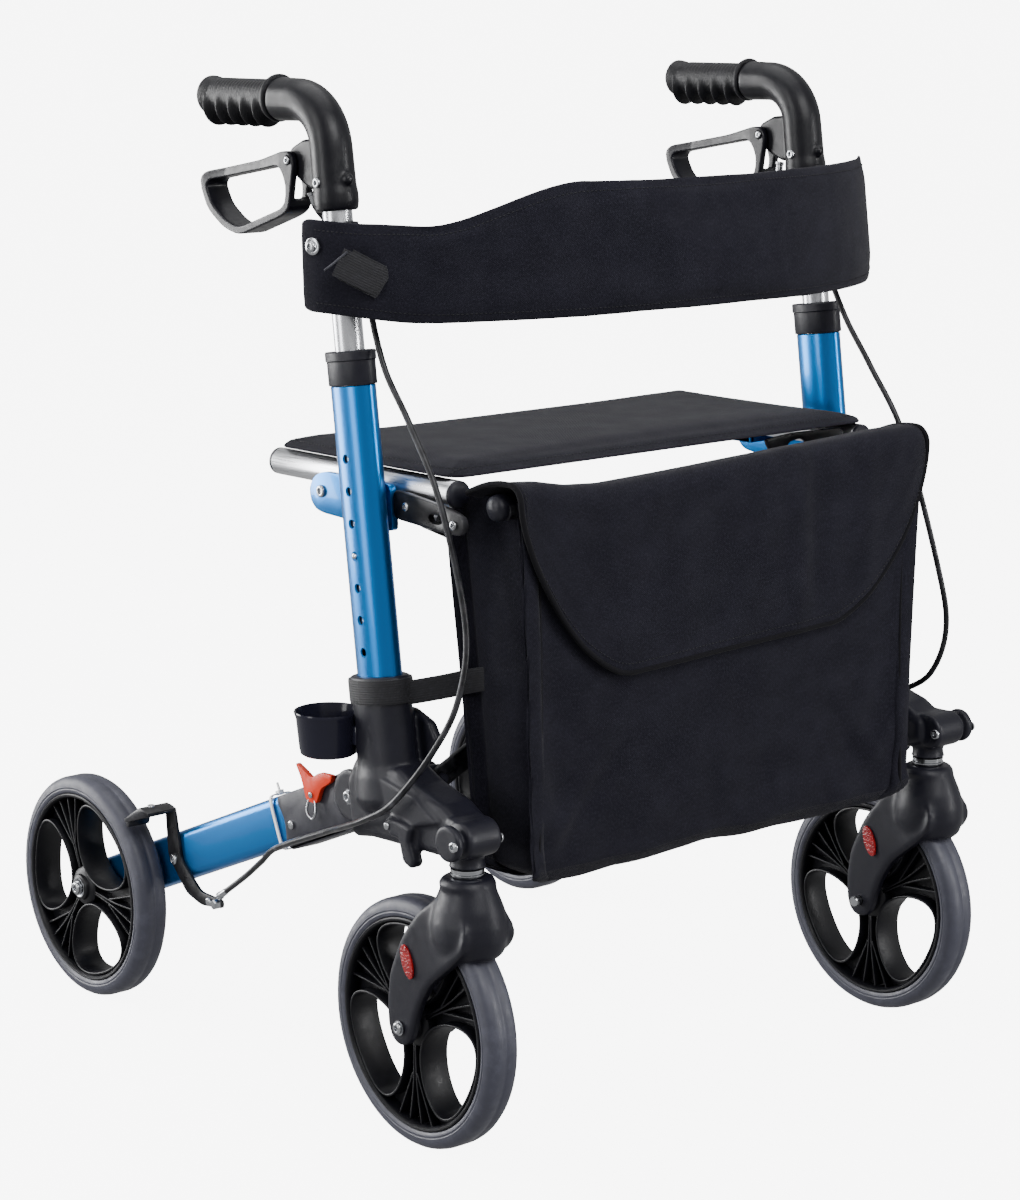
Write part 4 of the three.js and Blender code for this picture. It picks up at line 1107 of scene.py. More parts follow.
def stitches(name, points, normals, pitch=3.6, length=2.3, radius=0.42):
    """A row of stitches along a line: short rounded threads that lie on the cloth."""
    points, normals = np.array(points, float), np.array(normals, float)
    along = np.concatenate([[0], np.cumsum(np.linalg.norm(np.diff(points, axis=0), axis=1))])
    corners, faces = [], []
    profile = ((-0.5, 0.35), (-0.36, 0.9), (0.0, 1.0), (0.36, 0.9), (0.5, 0.35))
    for s in np.arange(pitch / 2, along[-1] - pitch / 2, pitch):
        here = np.array([np.interp(s, along, points[:, k]) for k in range(3)])
        ahead = np.array([np.interp(s + 0.5, along, points[:, k]) for k in range(3)])
        direction = (ahead - here) / max(np.linalg.norm(ahead - here), 1e-9)
        normal = np.array([np.interp(s, along, normals[:, k]) for k in range(3)])
        side = np.cross(direction, normal)
        side /= np.linalg.norm(side)
        start = len(corners)
        for share, fat in profile:
            for k in range(6):
                angle = 2 * math.pi * k / 6
                corners.append(tuple(here + direction * share * length + side * radius * fat * math.cos(angle)
                                     + normal * radius * fat * math.sin(angle)))
        for ring in range(len(profile) - 1):
            for k in range(6):
                a, b = start + ring * 6, start + (ring + 1) * 6
                faces.append((a + k, a + (k + 1) % 6, b + (k + 1) % 6, b + k))
        faces.append(tuple(start + k for k in range(6))[::-1])
        faces.append(tuple(start + (len(profile) - 1) * 6 + k for k in range(6)))
    return build(name, corners, faces)


def nearest_surface(obj, points, offset=0.2):
    """Drops points onto the closest place of a finished mesh, and gives the normals there."""
    places, normals = [], []
    for point in points:
        _, place, normal, _ = obj.closest_point_on_mesh(Vector(point) * MM)
        places.append(tuple((place + normal * offset * MM) / MM))
        normals.append(tuple(normal))
    return places, normals


SEAT_HALF, SEAT_HALF_DEPTH, SEAT_MIDDLE = 227.0, 118, -140


def seat_fabric():
    """A thin padded seat with rounded corners, soft edges and a sewn border."""
    def place(u, v, side):
        x, y = (2 * u - 1), (2 * v - 1)
        corner = 0.055
        round_x = 1 - corner * 0.5 * max(0, abs(y) - (1 - 2 * corner)) ** 2 / (2 * corner) ** 2
        round_y = 1 - corner * max(0, abs(x) - (1 - corner)) ** 2 / corner ** 2
        edge = min((1 - abs(x)) * SEAT_HALF, (1 - abs(y)) * SEAT_HALF_DEPTH)
        if side > 0:
            z = 526.4 + 6.4 * smooth_step(edge / 16) + 1.2 * (1 - x * x) * (1 - y * y)
        else:
            z = 525.0 - 1.4 * smooth_step(edge / 12)
        return (x * round_x * (SEAT_HALF - 0.8), SEAT_MIDDLE + y * round_y * 117.4, z)

    def pinned(corner):
        outer = max(abs(corner.x) / SEAT_HALF, abs(corner.y - SEAT_MIDDLE) / SEAT_HALF_DEPTH)
        return 1.0 if outer > 0.955 or corner.z < 525.6 else 0.0

    obj = sheet_grid("seat_fabric", place, (2 * SEAT_HALF, 2 * SEAT_HALF_DEPTH), 92, 48)
    simulated(obj, pinned, 2.2, 3.0)
    return modified(obj, "SUBSURF", levels=1)


def seat_line(inset):
    """The line of sewing round the seat, at an inset from its edge."""
    half_x, half_y = SEAT_HALF - inset, SEAT_HALF_DEPTH - inset
    outline = fillet([(half_x, half_y), (-half_x, half_y), (-half_x, -half_y), (half_x, -half_y)], 16, 6)
    return spline([(a, b + SEAT_MIDDLE, 536) for a, b in outline], 400, closed=True)


BAG_HALF, BAG_REAR, BAG_FRONT, BAG_LOW, BAG_HIGH = 203.0, -233.5, -325.0, 221.0, 512.0
BAG_EDGE = 223.0                                # the height of the floor's edge
BAG_SLOPE = 28                                  # how far the rear comes forwards, from the mouth to the floor
BAG_SIDES, BAG_LEVELS = 132, 34


def bag_crest(x):
    """The height of the rod line that the flap hangs over. It dips on the right."""
    across = (-220, -190, -160, -125, -60, 100, 180, 220)
    return float(np.interp(x, across, (529, 527, 521, 518.5, 520.5, 527, 530, 530)))


def mouth_drop(x, y):
    """How far the bag's mouth hangs below its top: more at the rear, where it sags between the bars."""
    rear = smooth_step((y + 312) / 50)
    return (520 - bag_crest(x)) + 7 + rear * (2 + 19 * (1 - (x / BAG_HALF) ** 4))


def bag_half(share):
    """Half the bag's width at a share of its depth, from the mouth down to the floor."""
    return BAG_HALF - 3.5 * math.sin(math.pi * share)


def bag_ring(share):
    """The bag's outline at a share of its depth."""
    half, rear = bag_half(share), BAG_REAR - BAG_SLOPE * share
    outline = fillet([(half, BAG_FRONT), (half, rear), (-half, rear), (-half, BAG_FRONT)], 9 + 5 * share, 3)
    points = spline([(a, b, 0) for a, b in outline], BAG_SIDES, closed=True)
    return [(a, b) for a, b in points[:, :2]]


def bag_body():
    """The pouch: a lofted skin with a floor, which sags and creases towards the bottom."""
    corners, faces, uvs = [], [], []
    around = np.linspace(0, 1.0, BAG_SIDES, endpoint=False)
    for j in range(BAG_LEVELS + 1):
        share = j / BAG_LEVELS
        for (a, b), t in zip(bag_ring(share), around):
            droop = 5 * share ** 3 * (1 - (a / BAG_HALF) ** 4)
            droop -= 3 * share ** 8 * (1 - abs(a / BAG_HALF)) * (b < -300)
            droop += mouth_drop(a, b) * (1 - share) ** 3
            corners.append((a, b, BAG_HIGH - (BAG_HIGH - BAG_EDGE) * share - droop))
            uvs.append((t * 0.99, share * 0.29))
    for j in range(BAG_LEVELS):
        upper, lower = j * BAG_SIDES, (j + 1) * BAG_SIDES
        for i in range(BAG_SIDES):
            k = (i + 1) % BAG_SIDES
            faces.append((upper + i, upper + k, lower + k, lower + i))
    centre_y = (BAG_REAR - BAG_SLOPE + BAG_FRONT) / 2
    last = BAG_LEVELS * BAG_SIDES
    previous = [last + i for i in range(BAG_SIDES)]
    for step, keep in enumerate((0.8, 0.55, 0.25)):
        new = []
        for i in range(BAG_SIDES):
            a, b, z = corners[last + i]
            new.append(len(corners))
            narrow = 1 - (1 - keep) * 0.22
            corners.append((a * narrow, centre_y + (b - centre_y) * keep, z - 2.0 * (step + 1)))
            uvs.append((a * MM, 0.3 + b * MM))
        for i in range(BAG_SIDES):
            k = (i + 1) % BAG_SIDES
            faces.append((previous[i], previous[k], new[k], new[i]))
        previous = new
    corners.append((0, centre_y, BAG_LOW - 1))
    uvs.append((0, 0.3))
    faces += [(previous[i], previous[(i + 1) % BAG_SIDES], len(corners) - 1) for i in range(BAG_SIDES)]
    obj = build("bag_body", corners, faces)
    layer = obj.data.uv_layers.new(name="UVMap")
    for polygon in obj.data.polygons:
        seam = len({uvs[v][0] > 0.5 for v in polygon.vertices}) > 1 and polygon.index < last
        for loop_index in polygon.loop_indices:
            u, v = uvs[obj.data.loops[loop_index].vertex_index]
            layer.data[loop_index].uv = (u + (0.99 if seam and u < 0.2 else 0), v)

    def pinned(corner):
        return 1.0 if corner.z > BAG_HIGH - 10 - mouth_drop(corner.x, corner.y) else 0.0

    simulated(obj, pinned, 9, 0.9, gravity=0.5, stiffness=20, frames=22)
    for vertex in obj.data.vertices:
        x, y, z = vertex.co / MM
        low = smooth_step((330 - z) / 110)
        front = smooth_step((-y - 300) / 18)
        crease = noise.noise(Vector((x * 0.011, z * 0.034, 3.1))) * 4.6 * low
        crease += noise.noise(Vector((x * 0.03 + z * 0.02, z * 0.05, 7.7))) * 2.2 * low
        corner = math.exp(-((abs(x) - 176) ** 2) / 1500) * math.exp(-((z - 262) ** 2) / 1400)
        crease -= 2.0 * corner * math.sin((abs(x) - z) * 0.09)
        across = (BAG_HALF - abs(x)) - 0.78 * (z - BAG_EDGE) - 5
        along = smooth_step((z - BAG_EDGE - 4) / 30) * smooth_step((345 - z) / 90)
        crease += along * (4.4 * math.exp(-(across / 8) ** 2) - 3.4 * math.exp(-((across - 17) / 11) ** 2))
        vertex.co.y -= (crease * front * 0.9) * MM
        vertex.co.z += noise.noise(Vector((x * 0.02, 1.3, y * 0.02))) * 3.2 * low * MM
    modified(obj, "SUBSURF", levels=1)
    return modified(obj, "SOLIDIFY", thickness=2.2 * MM, offset=-1)


FLAP_HALF, FLAP_TOP, FLAP_TURN, FLAP_DROP = 220, 67.0, 13.0, 147.0   # half width, over the top, bend, down
FLAP_CORNER = (111.0, 134.0, 1.6)               # a corner's width, height and power
FLAP_LENGTH = FLAP_TOP - FLAP_TURN + FLAP_TURN * math.pi / 2 + FLAP_DROP - FLAP_TURN


def flap_place(u, v, off):
    """The flap runs from the rear of the bag's mouth over its front edge and down."""
    x = (2 * u - 1) * FLAP_HALF
    radius = FLAP_TURN
    run_top, run_turn = FLAP_TOP - radius, radius * math.pi / 2
    s = v * FLAP_LENGTH
    rear, high = -262.0, bag_crest(x) - 1.5
    if s < run_top:
        back_down = 1 - s / run_top
        y, normal = rear - s, (0, 0, 1)
        z = high - 24 * back_down ** 2 * (1 - 0.4 * (x / FLAP_HALF) ** 4)
    elif s < run_top + run_turn:
        angle = (s - run_top) / radius
        y = rear - run_top - radius * math.sin(angle)
        z = high - radius + radius * math.cos(angle)
        normal = (0, -math.sin(angle), math.cos(angle))
    else:
        down = s - run_top - run_turn
        y, normal = rear - FLAP_TOP - 1.5 * math.sin(math.pi * down / 143), (0, -1, 0)
        z = high - radius - down
    front = smooth_step((s - run_top * 0.5) / 70)
    fold = 2.6 * math.exp(-((x - 70) / 13) ** 2) - 2.0 * math.exp(-((x - 92) / 11) ** 2)
    fold += 1.8 * math.exp(-((x - 148) / 12) ** 2) - 1.3 * math.exp(-((x + 20) / 20) ** 2)
    fold += 2.4 * noise.noise(Vector((x * 0.017, s * 0.008, 4.2)))
    off += fold * front * smooth_step((FLAP_TOP + FLAP_DROP - s) / 60 + 0.25)
    droop = 1.5 * (x / FLAP_HALF) ** 2 * front
    return (x, y + normal[1] * off, z - droop + normal[2] * off)


def flap_reach(u):
    """How far down the flap goes at a share of its width, with its large round corners."""
    x = abs(2 * u - 1) * FLAP_HALF
    wide, high, power = FLAP_CORNER
    over = min(max(0.0, x - (FLAP_HALF - wide)) / wide, 1)
    cut = high * (1 - (1 - over ** power) ** (1 / power))
    return (FLAP_LENGTH - cut) / FLAP_LENGTH


def flap_spot(u, v, side):
    """A point on one face of the flap, with the grid squeezed towards the rounded corners."""
    squeezed = 0.5 + math.sin((u - 0.5) * math.pi) / 2 * 0.35 + (u - 0.5) * 0.65
    return flap_place(squeezed, v * flap_reach(squeezed), 1.1 * side)


def bag_flap():
    obj = sheet_grid("bag_flap", flap_spot, (2 * FLAP_HALF, 220), 110, 56)
    return modified(obj, "SUBSURF", levels=1)


def flap_seam():
    """The line of sewing inside the flap's free edge."""
    row = [flap_spot(0.016, v, 1) for v in np.linspace(0.1, 0.96, 40)]
    row += [flap_spot(u, 0.965, 1) for u in np.linspace(0.02, 0.98, 160)]
    return row + [flap_spot(1.0 - 0.016, v, 1) for v in np.linspace(0.96, 0.1, 40)]


def flap_binding():
    """The piped binding round the flap's free edge."""
    edge = [flap_spot(0.0, v, 0) for v in np.linspace(0.05, 1, 30)]
    edge += [flap_spot(u, 1.0, 0) for u in np.linspace(0.004, 0.996, 120)]
    edge += [flap_spot(1.0, v, 0) for v in np.linspace(1, 0.05, 30)]
    line = spline(edge, 420)
    return sweep("flap_binding", line, lambda i, t: oval(2.3, 2.3, 10))


# ---- trim: straps, hems, rods and brackets ----
def ribbon(name, points, width, thickness, up, count=40):
    """A flat strap along a line. up is the direction that its face looks in, for each point or for all."""
    line = spline(points, count)
    faces = np.array(up, float)
    if faces.ndim == 1:
        faces = np.repeat(faces[None], len(points), 0)
    facing = spline(faces, count) if len(faces) > 2 else np.repeat(faces[:1], count, 0)
    length = float(np.linalg.norm(np.diff(line, axis=0), axis=1).sum())

    def place(u, v, side):
        point, direction = curve_point(line, u)
        normal = facing[min(int(u * (count - 1) + 0.5), count - 1)]
        normal = normal - direction * (normal @ direction)
        normal /= np.linalg.norm(normal)
        across = np.cross(direction, normal)
        edge = min(v, 1 - v)
        flat = 0.6 + 0.4 * min(edge / 0.12, 1)
        return point + across * (v - 0.5) * width + normal * side * thickness / 2 * flat

    return sheet_grid(name, place, (length, width), count - 1, 8)


def socket_band():
    """The webbing band round the top of the socket."""
    points = [(a, b, 107) for a, b in oval(20.9, 29.5, 40)]
    outward = [(a, b, 0) for a, b in oval(1, 1.0, 40)]
    band = ribbon("socket_band", points + points[:1], 19, 1.8, outward + outward[:1], 90)
    return on_mast(band)


def bag_strap():
    """The strap from the band to the bag's rear corner."""
    return ribbon("bag_strap", [(250, -224, 357), (240, -232, 359), (224, -243, 362), (208, -252, 365),
                                (200.5, -262, 367), (200.5, -276, 367)], 19, 1.8, (0.6, -0.75, 0), 34)


def bag_rod():
    """The rod that the bag hangs on."""
    return lathe("bag_rod", [(0, -214), (7, -214), (7, 214), (0, 214)], 28, "x", (0, -303, 505))


def rod_cap():
    profile = [(0, 206), (9.2, 206), (10.2, 208), (10.4, 216), (9.6, 220), (6.5, 222.6), (0, 223.4)]
    return lathe("rod_cap", profile, 36, "x", (0, -298, 507))


def side_binding():
    """The sewn edge down the bag's front corner."""
    points = []
    for share in np.linspace(0.04, 1, 26):
        droop = mouth_drop(BAG_HALF, BAG_FRONT) * (1 - share) ** 3
        height = BAG_HIGH - (BAG_HIGH - BAG_EDGE) * share - droop
        points.append((bag_half(share) - 2.6, BAG_FRONT + 2.6, height))
    return tube("bag_corner", points, 1.7, 60, 8)


def back_bracket():
    """The clamp on the post, with the arm that carries the back strap's end."""
    clamp = [(11.8, 446), (15.2, 446.6), (15.6, 449), (15.6, 465), (15.2, 467.4), (11.8, 468)]
    ring = on_mast(lathe("ring", clamp, 40, ring=True))
    arm = plate("arm", fillet([(262, -160), (262, -146), (276, -144), (287, -154), (287, -174), (281, -176),
                               (272, -166)], 4), 692, 713, "z", 1.6)
    return joined("back_bracket", [ring, arm])


def back_bolt():
    """The screw through the back strap's end, with its washer."""
    profile = [(0, 0), (6.6, 0), (6.6, 0.9), (5.9, 1.3), (4.3, 1.3), (4.1, 3.4), (3.2, 4.3), (2.1, 4.4),
               (1.9, 2.6), (0, 2.5)]
    point, direction = curve_point(BACK_LINE, 1 - 14 / BACK_LENGTH)
    outward = Vector((direction[1], -direction[0], 0))
    head = lathe("back_bolt", profile, 32)
    aim = outward.to_track_quat("Z", "Y").to_matrix().to_4x4()
    start = Vector((point[0], point[1], 700)) + outward * 3.6
    return moved(head, Matrix.Translation(start) @ aim)


def back_loop():
    """A small folded loop of webbing, sewn to the strap near its right end."""
    start = 36 / BACK_LENGTH
    reach = 30 / BACK_LENGTH
    parts = []
    for lift, width, first in ((10.5, 22, 0.0), (6, 25, 0.14)):
        points = []
        for share in np.linspace(first, 1, 7):
            puff = lift * (1 - share) ** 0.6 + 4.6
            points.append(back_place(start + reach * share, 0.60 - 0.20 * share, -puff))
        points.append(back_place(start + reach * 1.04, 0.385, -4.4))
        parts.append(ribbon("loop", points, width, 1.6, (-0.5, -0.8, 0.1), 20))
    return joined("back_loop", parts)


def loop_highlight_edge():
    """A thin pale line along the loop's open edge: a painted highlight, in lighter grey."""
    start = 34.5 / BACK_LENGTH
    lip = [back_place(start + 0.012 * up, 0.60 + 0.11 * up, -14.6) for up in np.linspace(-1, 1, 7)]
    return tube("loop_highlight_edge", lip, 1.0, 14, 6)


def back_seam(v_inset, off):
    """Lines of sewing along the back strap's edges."""
    rows = []
    for upper in (True, False):
        line = []
        for t in np.linspace(0.02, 0.98, 220):
            low, high = back_edges(t)
            share = v_inset / (high - low)
            line.append(back_place(t, 1 - share if upper else share, off))
        rows.append(line)
    return rows


def seat_bracket():
    """The pressed catch plate under the seat's left front corner, with its window and screw."""
    outline = fillet([(116, 519), (124, 506), (150, 496), (178, 499), (200, 494), (222, 497), (222, 508),
                      (206, 520), (150, 521.5)], 5)
    window = fillet([(142, 506), (150, 501), (162, 503), (165, 512), (158, 516), (144, 514)], 4)
    return plate("seat_bracket", [outline, window], -243, -240, "y", 0.7)


def seat_bracket_bolt():
    return bolt("seat_bracket_bolt", (183, -243, 509), 5.2, 2.4, "y", -1)


# ---- the frame's pieces ----
both(side_casting(), PLASTIC, "frame_{}", "side_casting", 50)
both(casting_bolts(), CHROME, "frame_{}")
both(upright_tube(), BLUE, "frame_{}", "upright_tube", 30)
both(upright_collar(), PLASTIC, "frame_{}", "upright_collar", 35)
both(post_tube(), SILVER, "post_{}", "post_tube", 35)
both(height_button(), CHROME, "frame_{}")
both(rail_bracket(), BLUE, "frame_{}", "rail_bracket")
both(bag_bar(), STEEL, "frame_{}", "bag_bar")
both(bracket_bolts(), CHROME, "frame_{}")

both(handle_elbow(), HANDLE, "post_{}", "handle_elbow", 50)
both(handle_bolts(), CHROME, "post_{}")
both(grip(), GRIP, "post_{}", "grip", 60)
both(brake_lever(), CAST, "lever_{}", "brake_lever", 50)

both(rear_leg(), BLUE, "leg_{}", "rear_leg", 30)
both(leg_end_plug(), PLASTIC, "leg_{}")
both(leg_sleeve(), SLEEVE_GREY, "leg_{}", "leg_sleeve")
both(leg_rivets(), CHROME, "leg_{}")
both(cross_bolt("leg_hinge_bolt", HINGE, -24.9, 19.7, 5, 5, 3.6), CHROME, "frame_{}",
     "leg_hinge_bolt")
both(zip_tie(), WHITE, "leg_{}")
both(latch_lever(), ORANGE, "latch_{}", "latch_lever")
both(latch_hook(), CHROME, "latch_{}")
both(brake_arm(), STEEL, "pad_arm_{}", "brake_arm")
both(brake_arm_bolts(), CHROME, "pad_arm_{}")

# ---- wheels ----
FRONT_HUB = (CASTER[0], CASTER[1] + TRAIL, WHEEL)
both(tyre(AXLE), TYRE, "rear_wheel_{}", "rear_tyre")
both(rim(AXLE, RIM_FACING["rear"]), RIM, "rear_wheel_{}", "rear_rim")
both(bearing(AXLE), CHROME, "rear_wheel_{}")
both(cross_bolt("rear_axle_bolt", AXLE, -42.5, 17.6, 4, 5.6, 3.5), CHROME, "leg_{}",
     "rear_axle_bolt")
front_tyre, front_rim, front_bearing = tyre(FRONT_HUB), rim(FRONT_HUB, RIM_FACING["front"]), bearing(FRONT_HUB)
front_tyre.name, front_rim.name, front_bearing.name = "caster_tyre", "caster_rim", "caster_bearing"
both(front_tyre, TYRE, "front_wheel_{}", "caster_tyre")
both(front_rim, RIM, "front_wheel_{}", "caster_rim")
both(front_bearing, CHROME, "front_wheel_{}")
both(caster_fork(), PLASTIC, "swivel_{}", "caster_fork", 60)
both(caster_stem(), CHROME, "swivel_{}", "caster_stem")
both(cross_bolt("caster_axle_bolt", FRONT_HUB, -29, 25.4, 4, 4.8, 3.6), CHROME, "swivel_{}",
     "caster_axle_bolt")
both(reflector(CASTER[0] + 26.0, 1), REFLECTOR, "swivel_{}", "caster_reflector")
inner_lens = reflector(CASTER[0] - 26.0, -1)
inner_lens.name = "inner_reflector"
both(inner_lens, REFLECTOR, "swivel_{}")

# ---- seat, brace, cables and cup ----
def cross_bar(side, y):
    half = BRACE_LENGTH / 2
    ends = [(half + 9 * math.cos(t), 9 * math.sin(t)) for t in np.linspace(-math.pi / 2, math.pi / 2, 13)]
    outline = ends + [(-a, -b) for a, b in ends]
    bores = [circle(4.3, 24, (place, 0)) for place in (-half, 0, half)]
    obj = plate("cross_bar", [outline, *bores], -BAR_HALF, BAR_HALF, "y", 0.8)
    return moved(obj, shift(0, y, BRACE_MIDDLE) @ Matrix.Rotation(side * BRACE_SLOPE, 4, "Y"))


def cross_pivot_bolt():
    """The bolt where the two bars cross: a head on each side, and a washer between the bars."""
    reach = BAR_OFFSET + BAR_HALF + 0.3
    half = [(0, reach + 4), (5.6, reach + 4), (8, reach + 2.6), (8, reach), (4, reach), (4, 2.6), (9, 2.6)]
    profile = [(radius, -along) for radius, along in half] + half[::-1]
    return lathe("cross_pivot_bolt", profile, 32, "y", (0, BRACE_Y, BRACE_MIDDLE))


def seat_rail():
    """The rail's tube, with the lug and the pin for the brace under it."""
    profile = [(10.5, -252), (11, -251.4), (11, -24.6), (10.5, -24), (9, -24), (9, -252)]
    rail = lathe("rail", profile, 40, "y", RAIL, ring=True)
    outline = fillet([(210, 490), (214, 481), (224, 481), (228, 490), (227, 504.5), (211, 504.5)], 5)
    lug = plate("lug", outline, -223.5, -218.5, "y", 1)
    pin = lathe("pin", [(0, -231), (4, -231), (4, -211), (0, -211)], 20, "y", (RAIL[0], 0, 490))
    return joined("seat_rail", [rail, lug, pin])


def rail_plugs():
    parts = []
    for y, out in ((-252, -1), (-24, 1)):
        profile = [(0, -6), (8.7, -6), (8.7, 0.2), (10.9, 0.4), (10.9, 2.4), (9.4, 4.2), (5, 5), (0, 5.2)]
        plug = lathe("plug", profile, 32, "y")
        parts.append(moved(plug, shift(RAIL[0], y, RAIL[2]) @ Matrix.Diagonal((1, out, 1, 1))))
        if out < 0:
            parts[-1].data.flip_normals()
    return joined("rail_plugs", parts)


def cane_cup():
    """The cup for a walking stick, on the right casting, and the foot that joins it there."""
    x, y, low, high = 275, -157, 300.5, 336.0
    profile = [(0, low), (20, low), (22.2, low + 1.4), (23.2, low + 6), (25.4, high - 6), (26.4, high - 3),
               (27, high - 1), (26.6, high), (25.6, high - 0.4), (24.8, high - 3), (23.6, high - 7),
               (21.2, low + 5), (19.5, low + 2.4), (0, low + 2)]
    shell = lathe("shell", profile, 64, centre=(x, y, 0))
    foot = plate("foot", [(-186, 311), (-186, 327), (-176, 327), (-176, 311)], 258, 270, edge=1.5)
    return moved(joined("cane_cup", [shell, foot]), Matrix.Diagonal((-1, 1, 1, 1)))


CABLE_TOP = [(253, -119, 736), (250, -121, 724), (240, -132, 706), (236, -155, 690), (238, -175, 668),
             (246, -183, 650), (250, -205, 606)]
CABLE_MIDDLE = {
    "l": [(252, -233, 567), (257, -268, 510), (268, -299, 402), (276, -303, 346), (280, -282, 302)],
    "r": [(249, -233, 567), (248, -268, 510), (246, -294, 420), (258, -299, 366), (272, -284, 324)],
}
CABLE_CLIP = (280, -245, 279)
CABLE_LOWER = [(281, -210, 259), (273, -170, 243), (259, -129, 228), (244, -40, 193), (239, -9, 173),
               (236, 20, 153), (235.5, 60, 126.5)]
CABLE_KNEE = CABLE_LOWER[3]


def cable_runs(letter, side):
    """One smooth cable, cut where it passes between bodies: to the clip, to the leg, to the brake arm."""
    route = [*CABLE_TOP, *CABLE_MIDDLE[letter], CABLE_CLIP, *CABLE_LOWER]
    line = spline([(side * x, y, z) for x, y, z in route], 340)
    clip, knee = (min(range(len(line)), key=lambda i: math.dist(line[i], (side * x, y, z)))
                  for x, y, z in (CABLE_CLIP, CABLE_KNEE))
    cuts = (("cable_upper", 0, clip), ("cable_lower", clip, knee), ("cable_rear", knee, len(line) - 1))
    return [sweep(f"{name}_{letter}_run", line[low:high + 1], lambda i, t: circle(2.5, 16))
            for name, low, high in cuts]


def ferrule(name, start, towards, length, radius, side):
    """A turned metal end on a cable."""
    start = Vector((side * start[0], start[1], start[2]))
    towards = Vector((side * towards[0], towards[1], towards[2]))
    aim = (towards - start).to_track_quat("Z", "Y").to_matrix().to_4x4()
    profile = [(2.55, 0), (radius, 0), (radius, length * 0.2), (radius * 0.82, length * 0.25),
               (radius * 0.82, length * 0.8), (radius * 0.7, length), (2.55, length)]
    return moved(lathe(name, profile, 24, ring=True), Matrix.Translation(start) @ aim)


for bar, side in (("a", -1), ("b", 1)):
    piece = cross_bar(side, BRACE_Y + side * BAR_OFFSET)
    single(piece, STEEL, f"brace_{bar}", f"cross_bar_{bar}")
    piece.name = f"cross_bar_{bar}_look"
single(cross_pivot_bolt(), CHROME, "brace_a", "cross_pivot_bolt")
both(seat_rail(), RAIL_SILVER, "rail_{}", "seat_rail")
both(rail_plugs(), PLASTIC, "rail_{}")
single(cane_cup(), CUP, "frame_r", "cane_cup")
for letter, side in SIDES:
    post, main, leg, pad_arm = (f"{body}_{letter}" for body in ("post", "frame", "leg", "pad_arm"))
    upper, lower, rear = cable_runs(letter, side)
    single(upper, CABLE, None, f"cable_upper_{letter}")
    single(lower, CABLE, None, f"cable_lower_{letter}")
    single(rear, CABLE, None)
    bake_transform(upper)
    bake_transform(lower)
    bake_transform(rear)
    top = ferrule(f"cable_top_{letter}", CABLE_TOP[0], CABLE_TOP[1], 10, 3.8, side)
    tail = ferrule(f"cable_tail_{letter}", CABLE_LOWER[-1], CABLE_LOWER[-2], 14, 3.6, side)
    single(top, CHROME, post)
    single(tail, CHROME, pad_arm)

# ---- cloth pieces ----
seat = single(seat_fabric(), CLOTH, "rail_r", "seat_fabric", 60)
line, normals = nearest_surface(seat, seat_line(9))
seat_thread = single(stitches("seat_stitches", line, normals), THREAD, "rail_r")
back = single(backrest(), CLOTH, "post_r", "backrest", 60)
bag = single(bag_body(), CLOTH, "frame_r", "bag_body", 60)
flap = single(bag_flap(), CLOTH, "frame_r", "bag_flap", 60)
binding = single(flap_binding(), HEM, "frame_r")

both(back_bracket(), PLASTIC, "post_{}")
both(back_bolt(), CHROME, "post_{}")
loop = single(back_loop(), WEBBING, "post_r")
# The pale line on the loop's edge is a painted highlight.
loop_highlight = single(loop_highlight_edge(), SLEEVE_GREY, "post_r")
seams = []
for row in back_seam(7.5, -4):
    line, normals = nearest_surface(back, row)
    seams.append(stitches("back_seam", line, normals))
back_thread = single(joined("back_stitches", seams), THREAD, "post_r")
rod = single(bag_rod(), STEEL, "frame_r")
cap_l, _ = both(rod_cap(), PLASTIC, "frame_r")
both(socket_band(), WEBBING, "frame_{}")
straps = both(bag_strap(), WEBBING, "frame_r")
single(seat_bracket(), STEEL, "rail_l")
single(seat_bracket_bolt(), CHROME, "rail_l")

line, normals = nearest_surface(flap, flap_seam())
flap_thread = single(stitches("flap_stitches", line, normals), THREAD, "frame_r")
corners = both(side_binding(), HEM, "frame_r")

# ---- the cloth pieces get meshes of their own ----
for piece in (seat, seat_thread):
    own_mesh(piece)
for piece in (back, back_thread, loop, loop_highlight):
    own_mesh(piece)
for piece in (bag, flap, binding, flap_thread, rod, cap_l, *corners, *straps):
    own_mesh(piece)


# ---- camera, floor and light ----
def add_camera():
    """The camera at the photograph's viewing angle."""
    yaw, pitch, roll = math.radians(-39.68), math.radians(11.43), math.radians(-0.5)
    right = Vector((math.cos(yaw), math.sin(yaw), 0))
    forward = Vector((-math.sin(yaw) * math.cos(pitch), math.cos(yaw) * math.cos(pitch), -math.sin(pitch)))
    up = right.cross(forward)
    across = math.cos(roll) * right + math.sin(roll) * up
    above = math.cos(roll) * up - math.sin(roll) * right
    camera = bpy.data.objects.new("camera", bpy.data.cameras.new("camera"))
    SCENE.collection.objects.link(camera)
    camera.matrix_world = Matrix((
        (across.x, above.x, -forward.x, -1.6691),
        (across.y, above.y, -forward.y, -2.0618),
        (across.z, above.z, -forward.z, 0.8987),
        (0, 0, 0, 1)))
    camera.data.lens = 92.757
    camera.data.clip_end = 2000
    SCENE.camera = camera


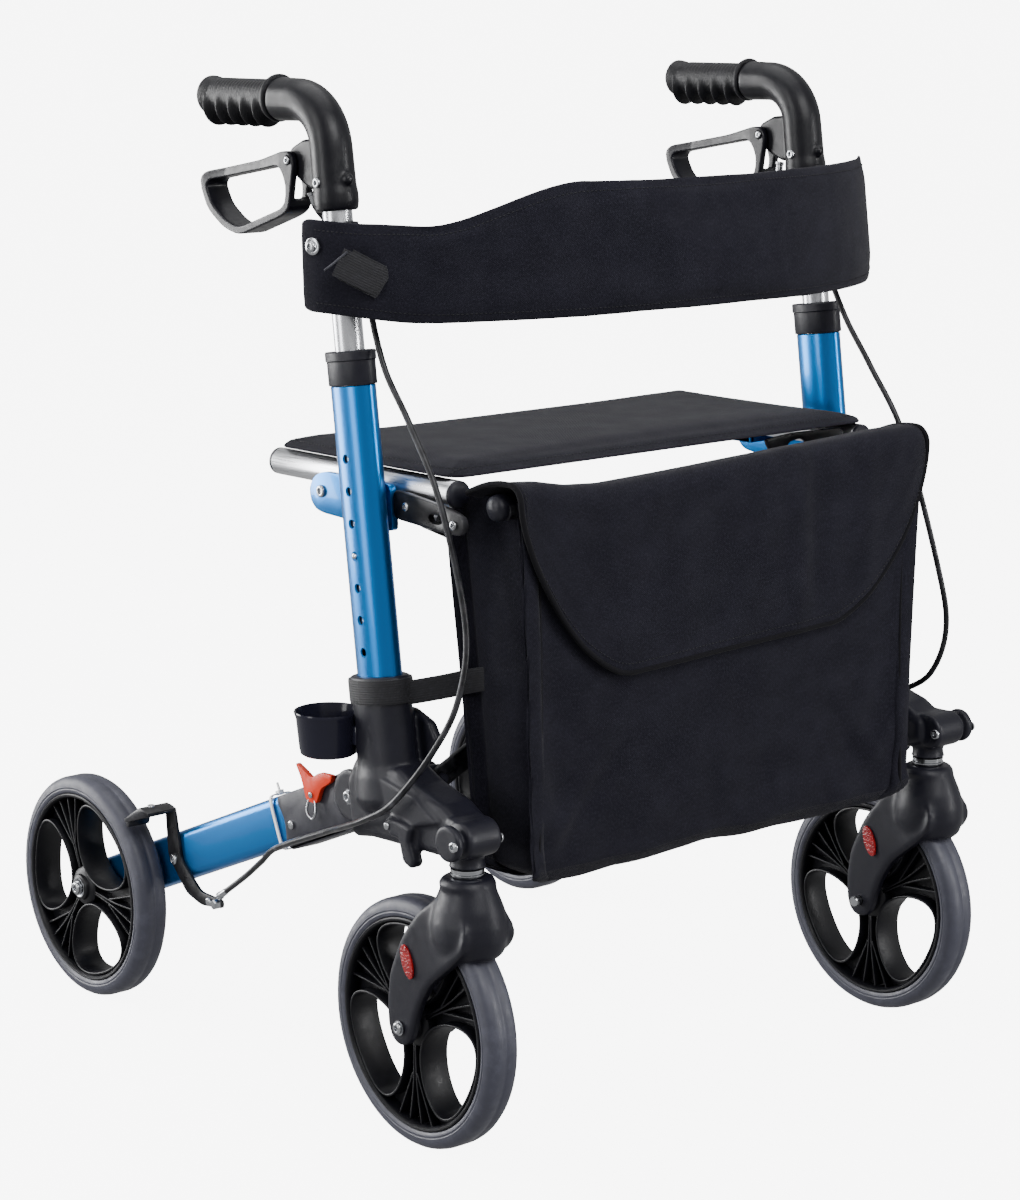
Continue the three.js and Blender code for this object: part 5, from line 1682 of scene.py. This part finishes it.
def add_stage():
    """A pale floor that curves up far behind the walker on every side, in a bright room."""
    look = Look("floor", (0.32, 0.32, 0.32), 0.7, Specular_IOR_Level=0.1, Emission_Color=(1, 1, 1, 1),
                Emission_Strength=7.4)
    look.tint(look.span(look.noise(3, 3), 0.4, 0.7), (0.34, 0.34, 0.34), 0.5)
    sides = 96
    points = [(0, 0, 0)]
    for radius, height in ((60000, 0), (66000, 1500), (70500, 5500), (73000, 12000), (74000, 60000)):
        points += [(a, b, height) for a, b in circle(radius, sides)]
    faces = [(0, 1 + i, 1 + (i + 1) % sides) for i in range(sides)]
    for first in range(1, len(points) - sides, sides):
        faces += [(first + i, first + sides + i, first + sides + (i + 1) % sides, first + (i + 1) % sides)
                  for i in range(sides)]
    floor = build("floor", points, faces)
    floor.data.materials.append(look.material)
    floor.visible_diffuse = floor.visible_glossy = False
    world = bpy.data.worlds.new("room")
    world.use_nodes = True
    world.node_tree.nodes["Background"].inputs["Color"].default_value = (1, 1, 1, 1)
    world.node_tree.nodes["Background"].inputs["Strength"].default_value = 0.55
    SCENE.world = world


def add_light(name, place, target, size, power):
    """A soft rectangular lamp. Places and sizes are metres, and power is watts."""
    light = bpy.data.lights.new(name, "AREA")
    light.shape, light.size, light.size_y, light.energy = "RECTANGLE", size[0], size[1], power
    lamp = bpy.data.objects.new(name, light)
    lamp.location = place
    lamp.rotation_euler = (Vector(target) - Vector(place)).to_track_quat("-Z", "Y").to_euler()
    SCENE.collection.objects.link(lamp)


add_camera()
add_stage()
for lamp in (("key", (-0.6, -2.6, 2.6), (0, 0, 0.4), (2.2, 1.6), 90),
             ("side", (-2.8, 0.3, 1.2), (0, 0, 0.4), (0.8, 2.4), 45),
             ("edge", (-1.55, 2.6, 0.9), (-0.1, 0, 0.45), (1.3, 2.2), 150),
             ("line", (1.2, -2.05, 0.65), (0, 0, 0.5), (0.1, 1.2), 26),
             ("top", (0, 0.4, 3.0), (0, 0, 0.3), (2.4, 2.4), 50)):
    add_light(*lamp)
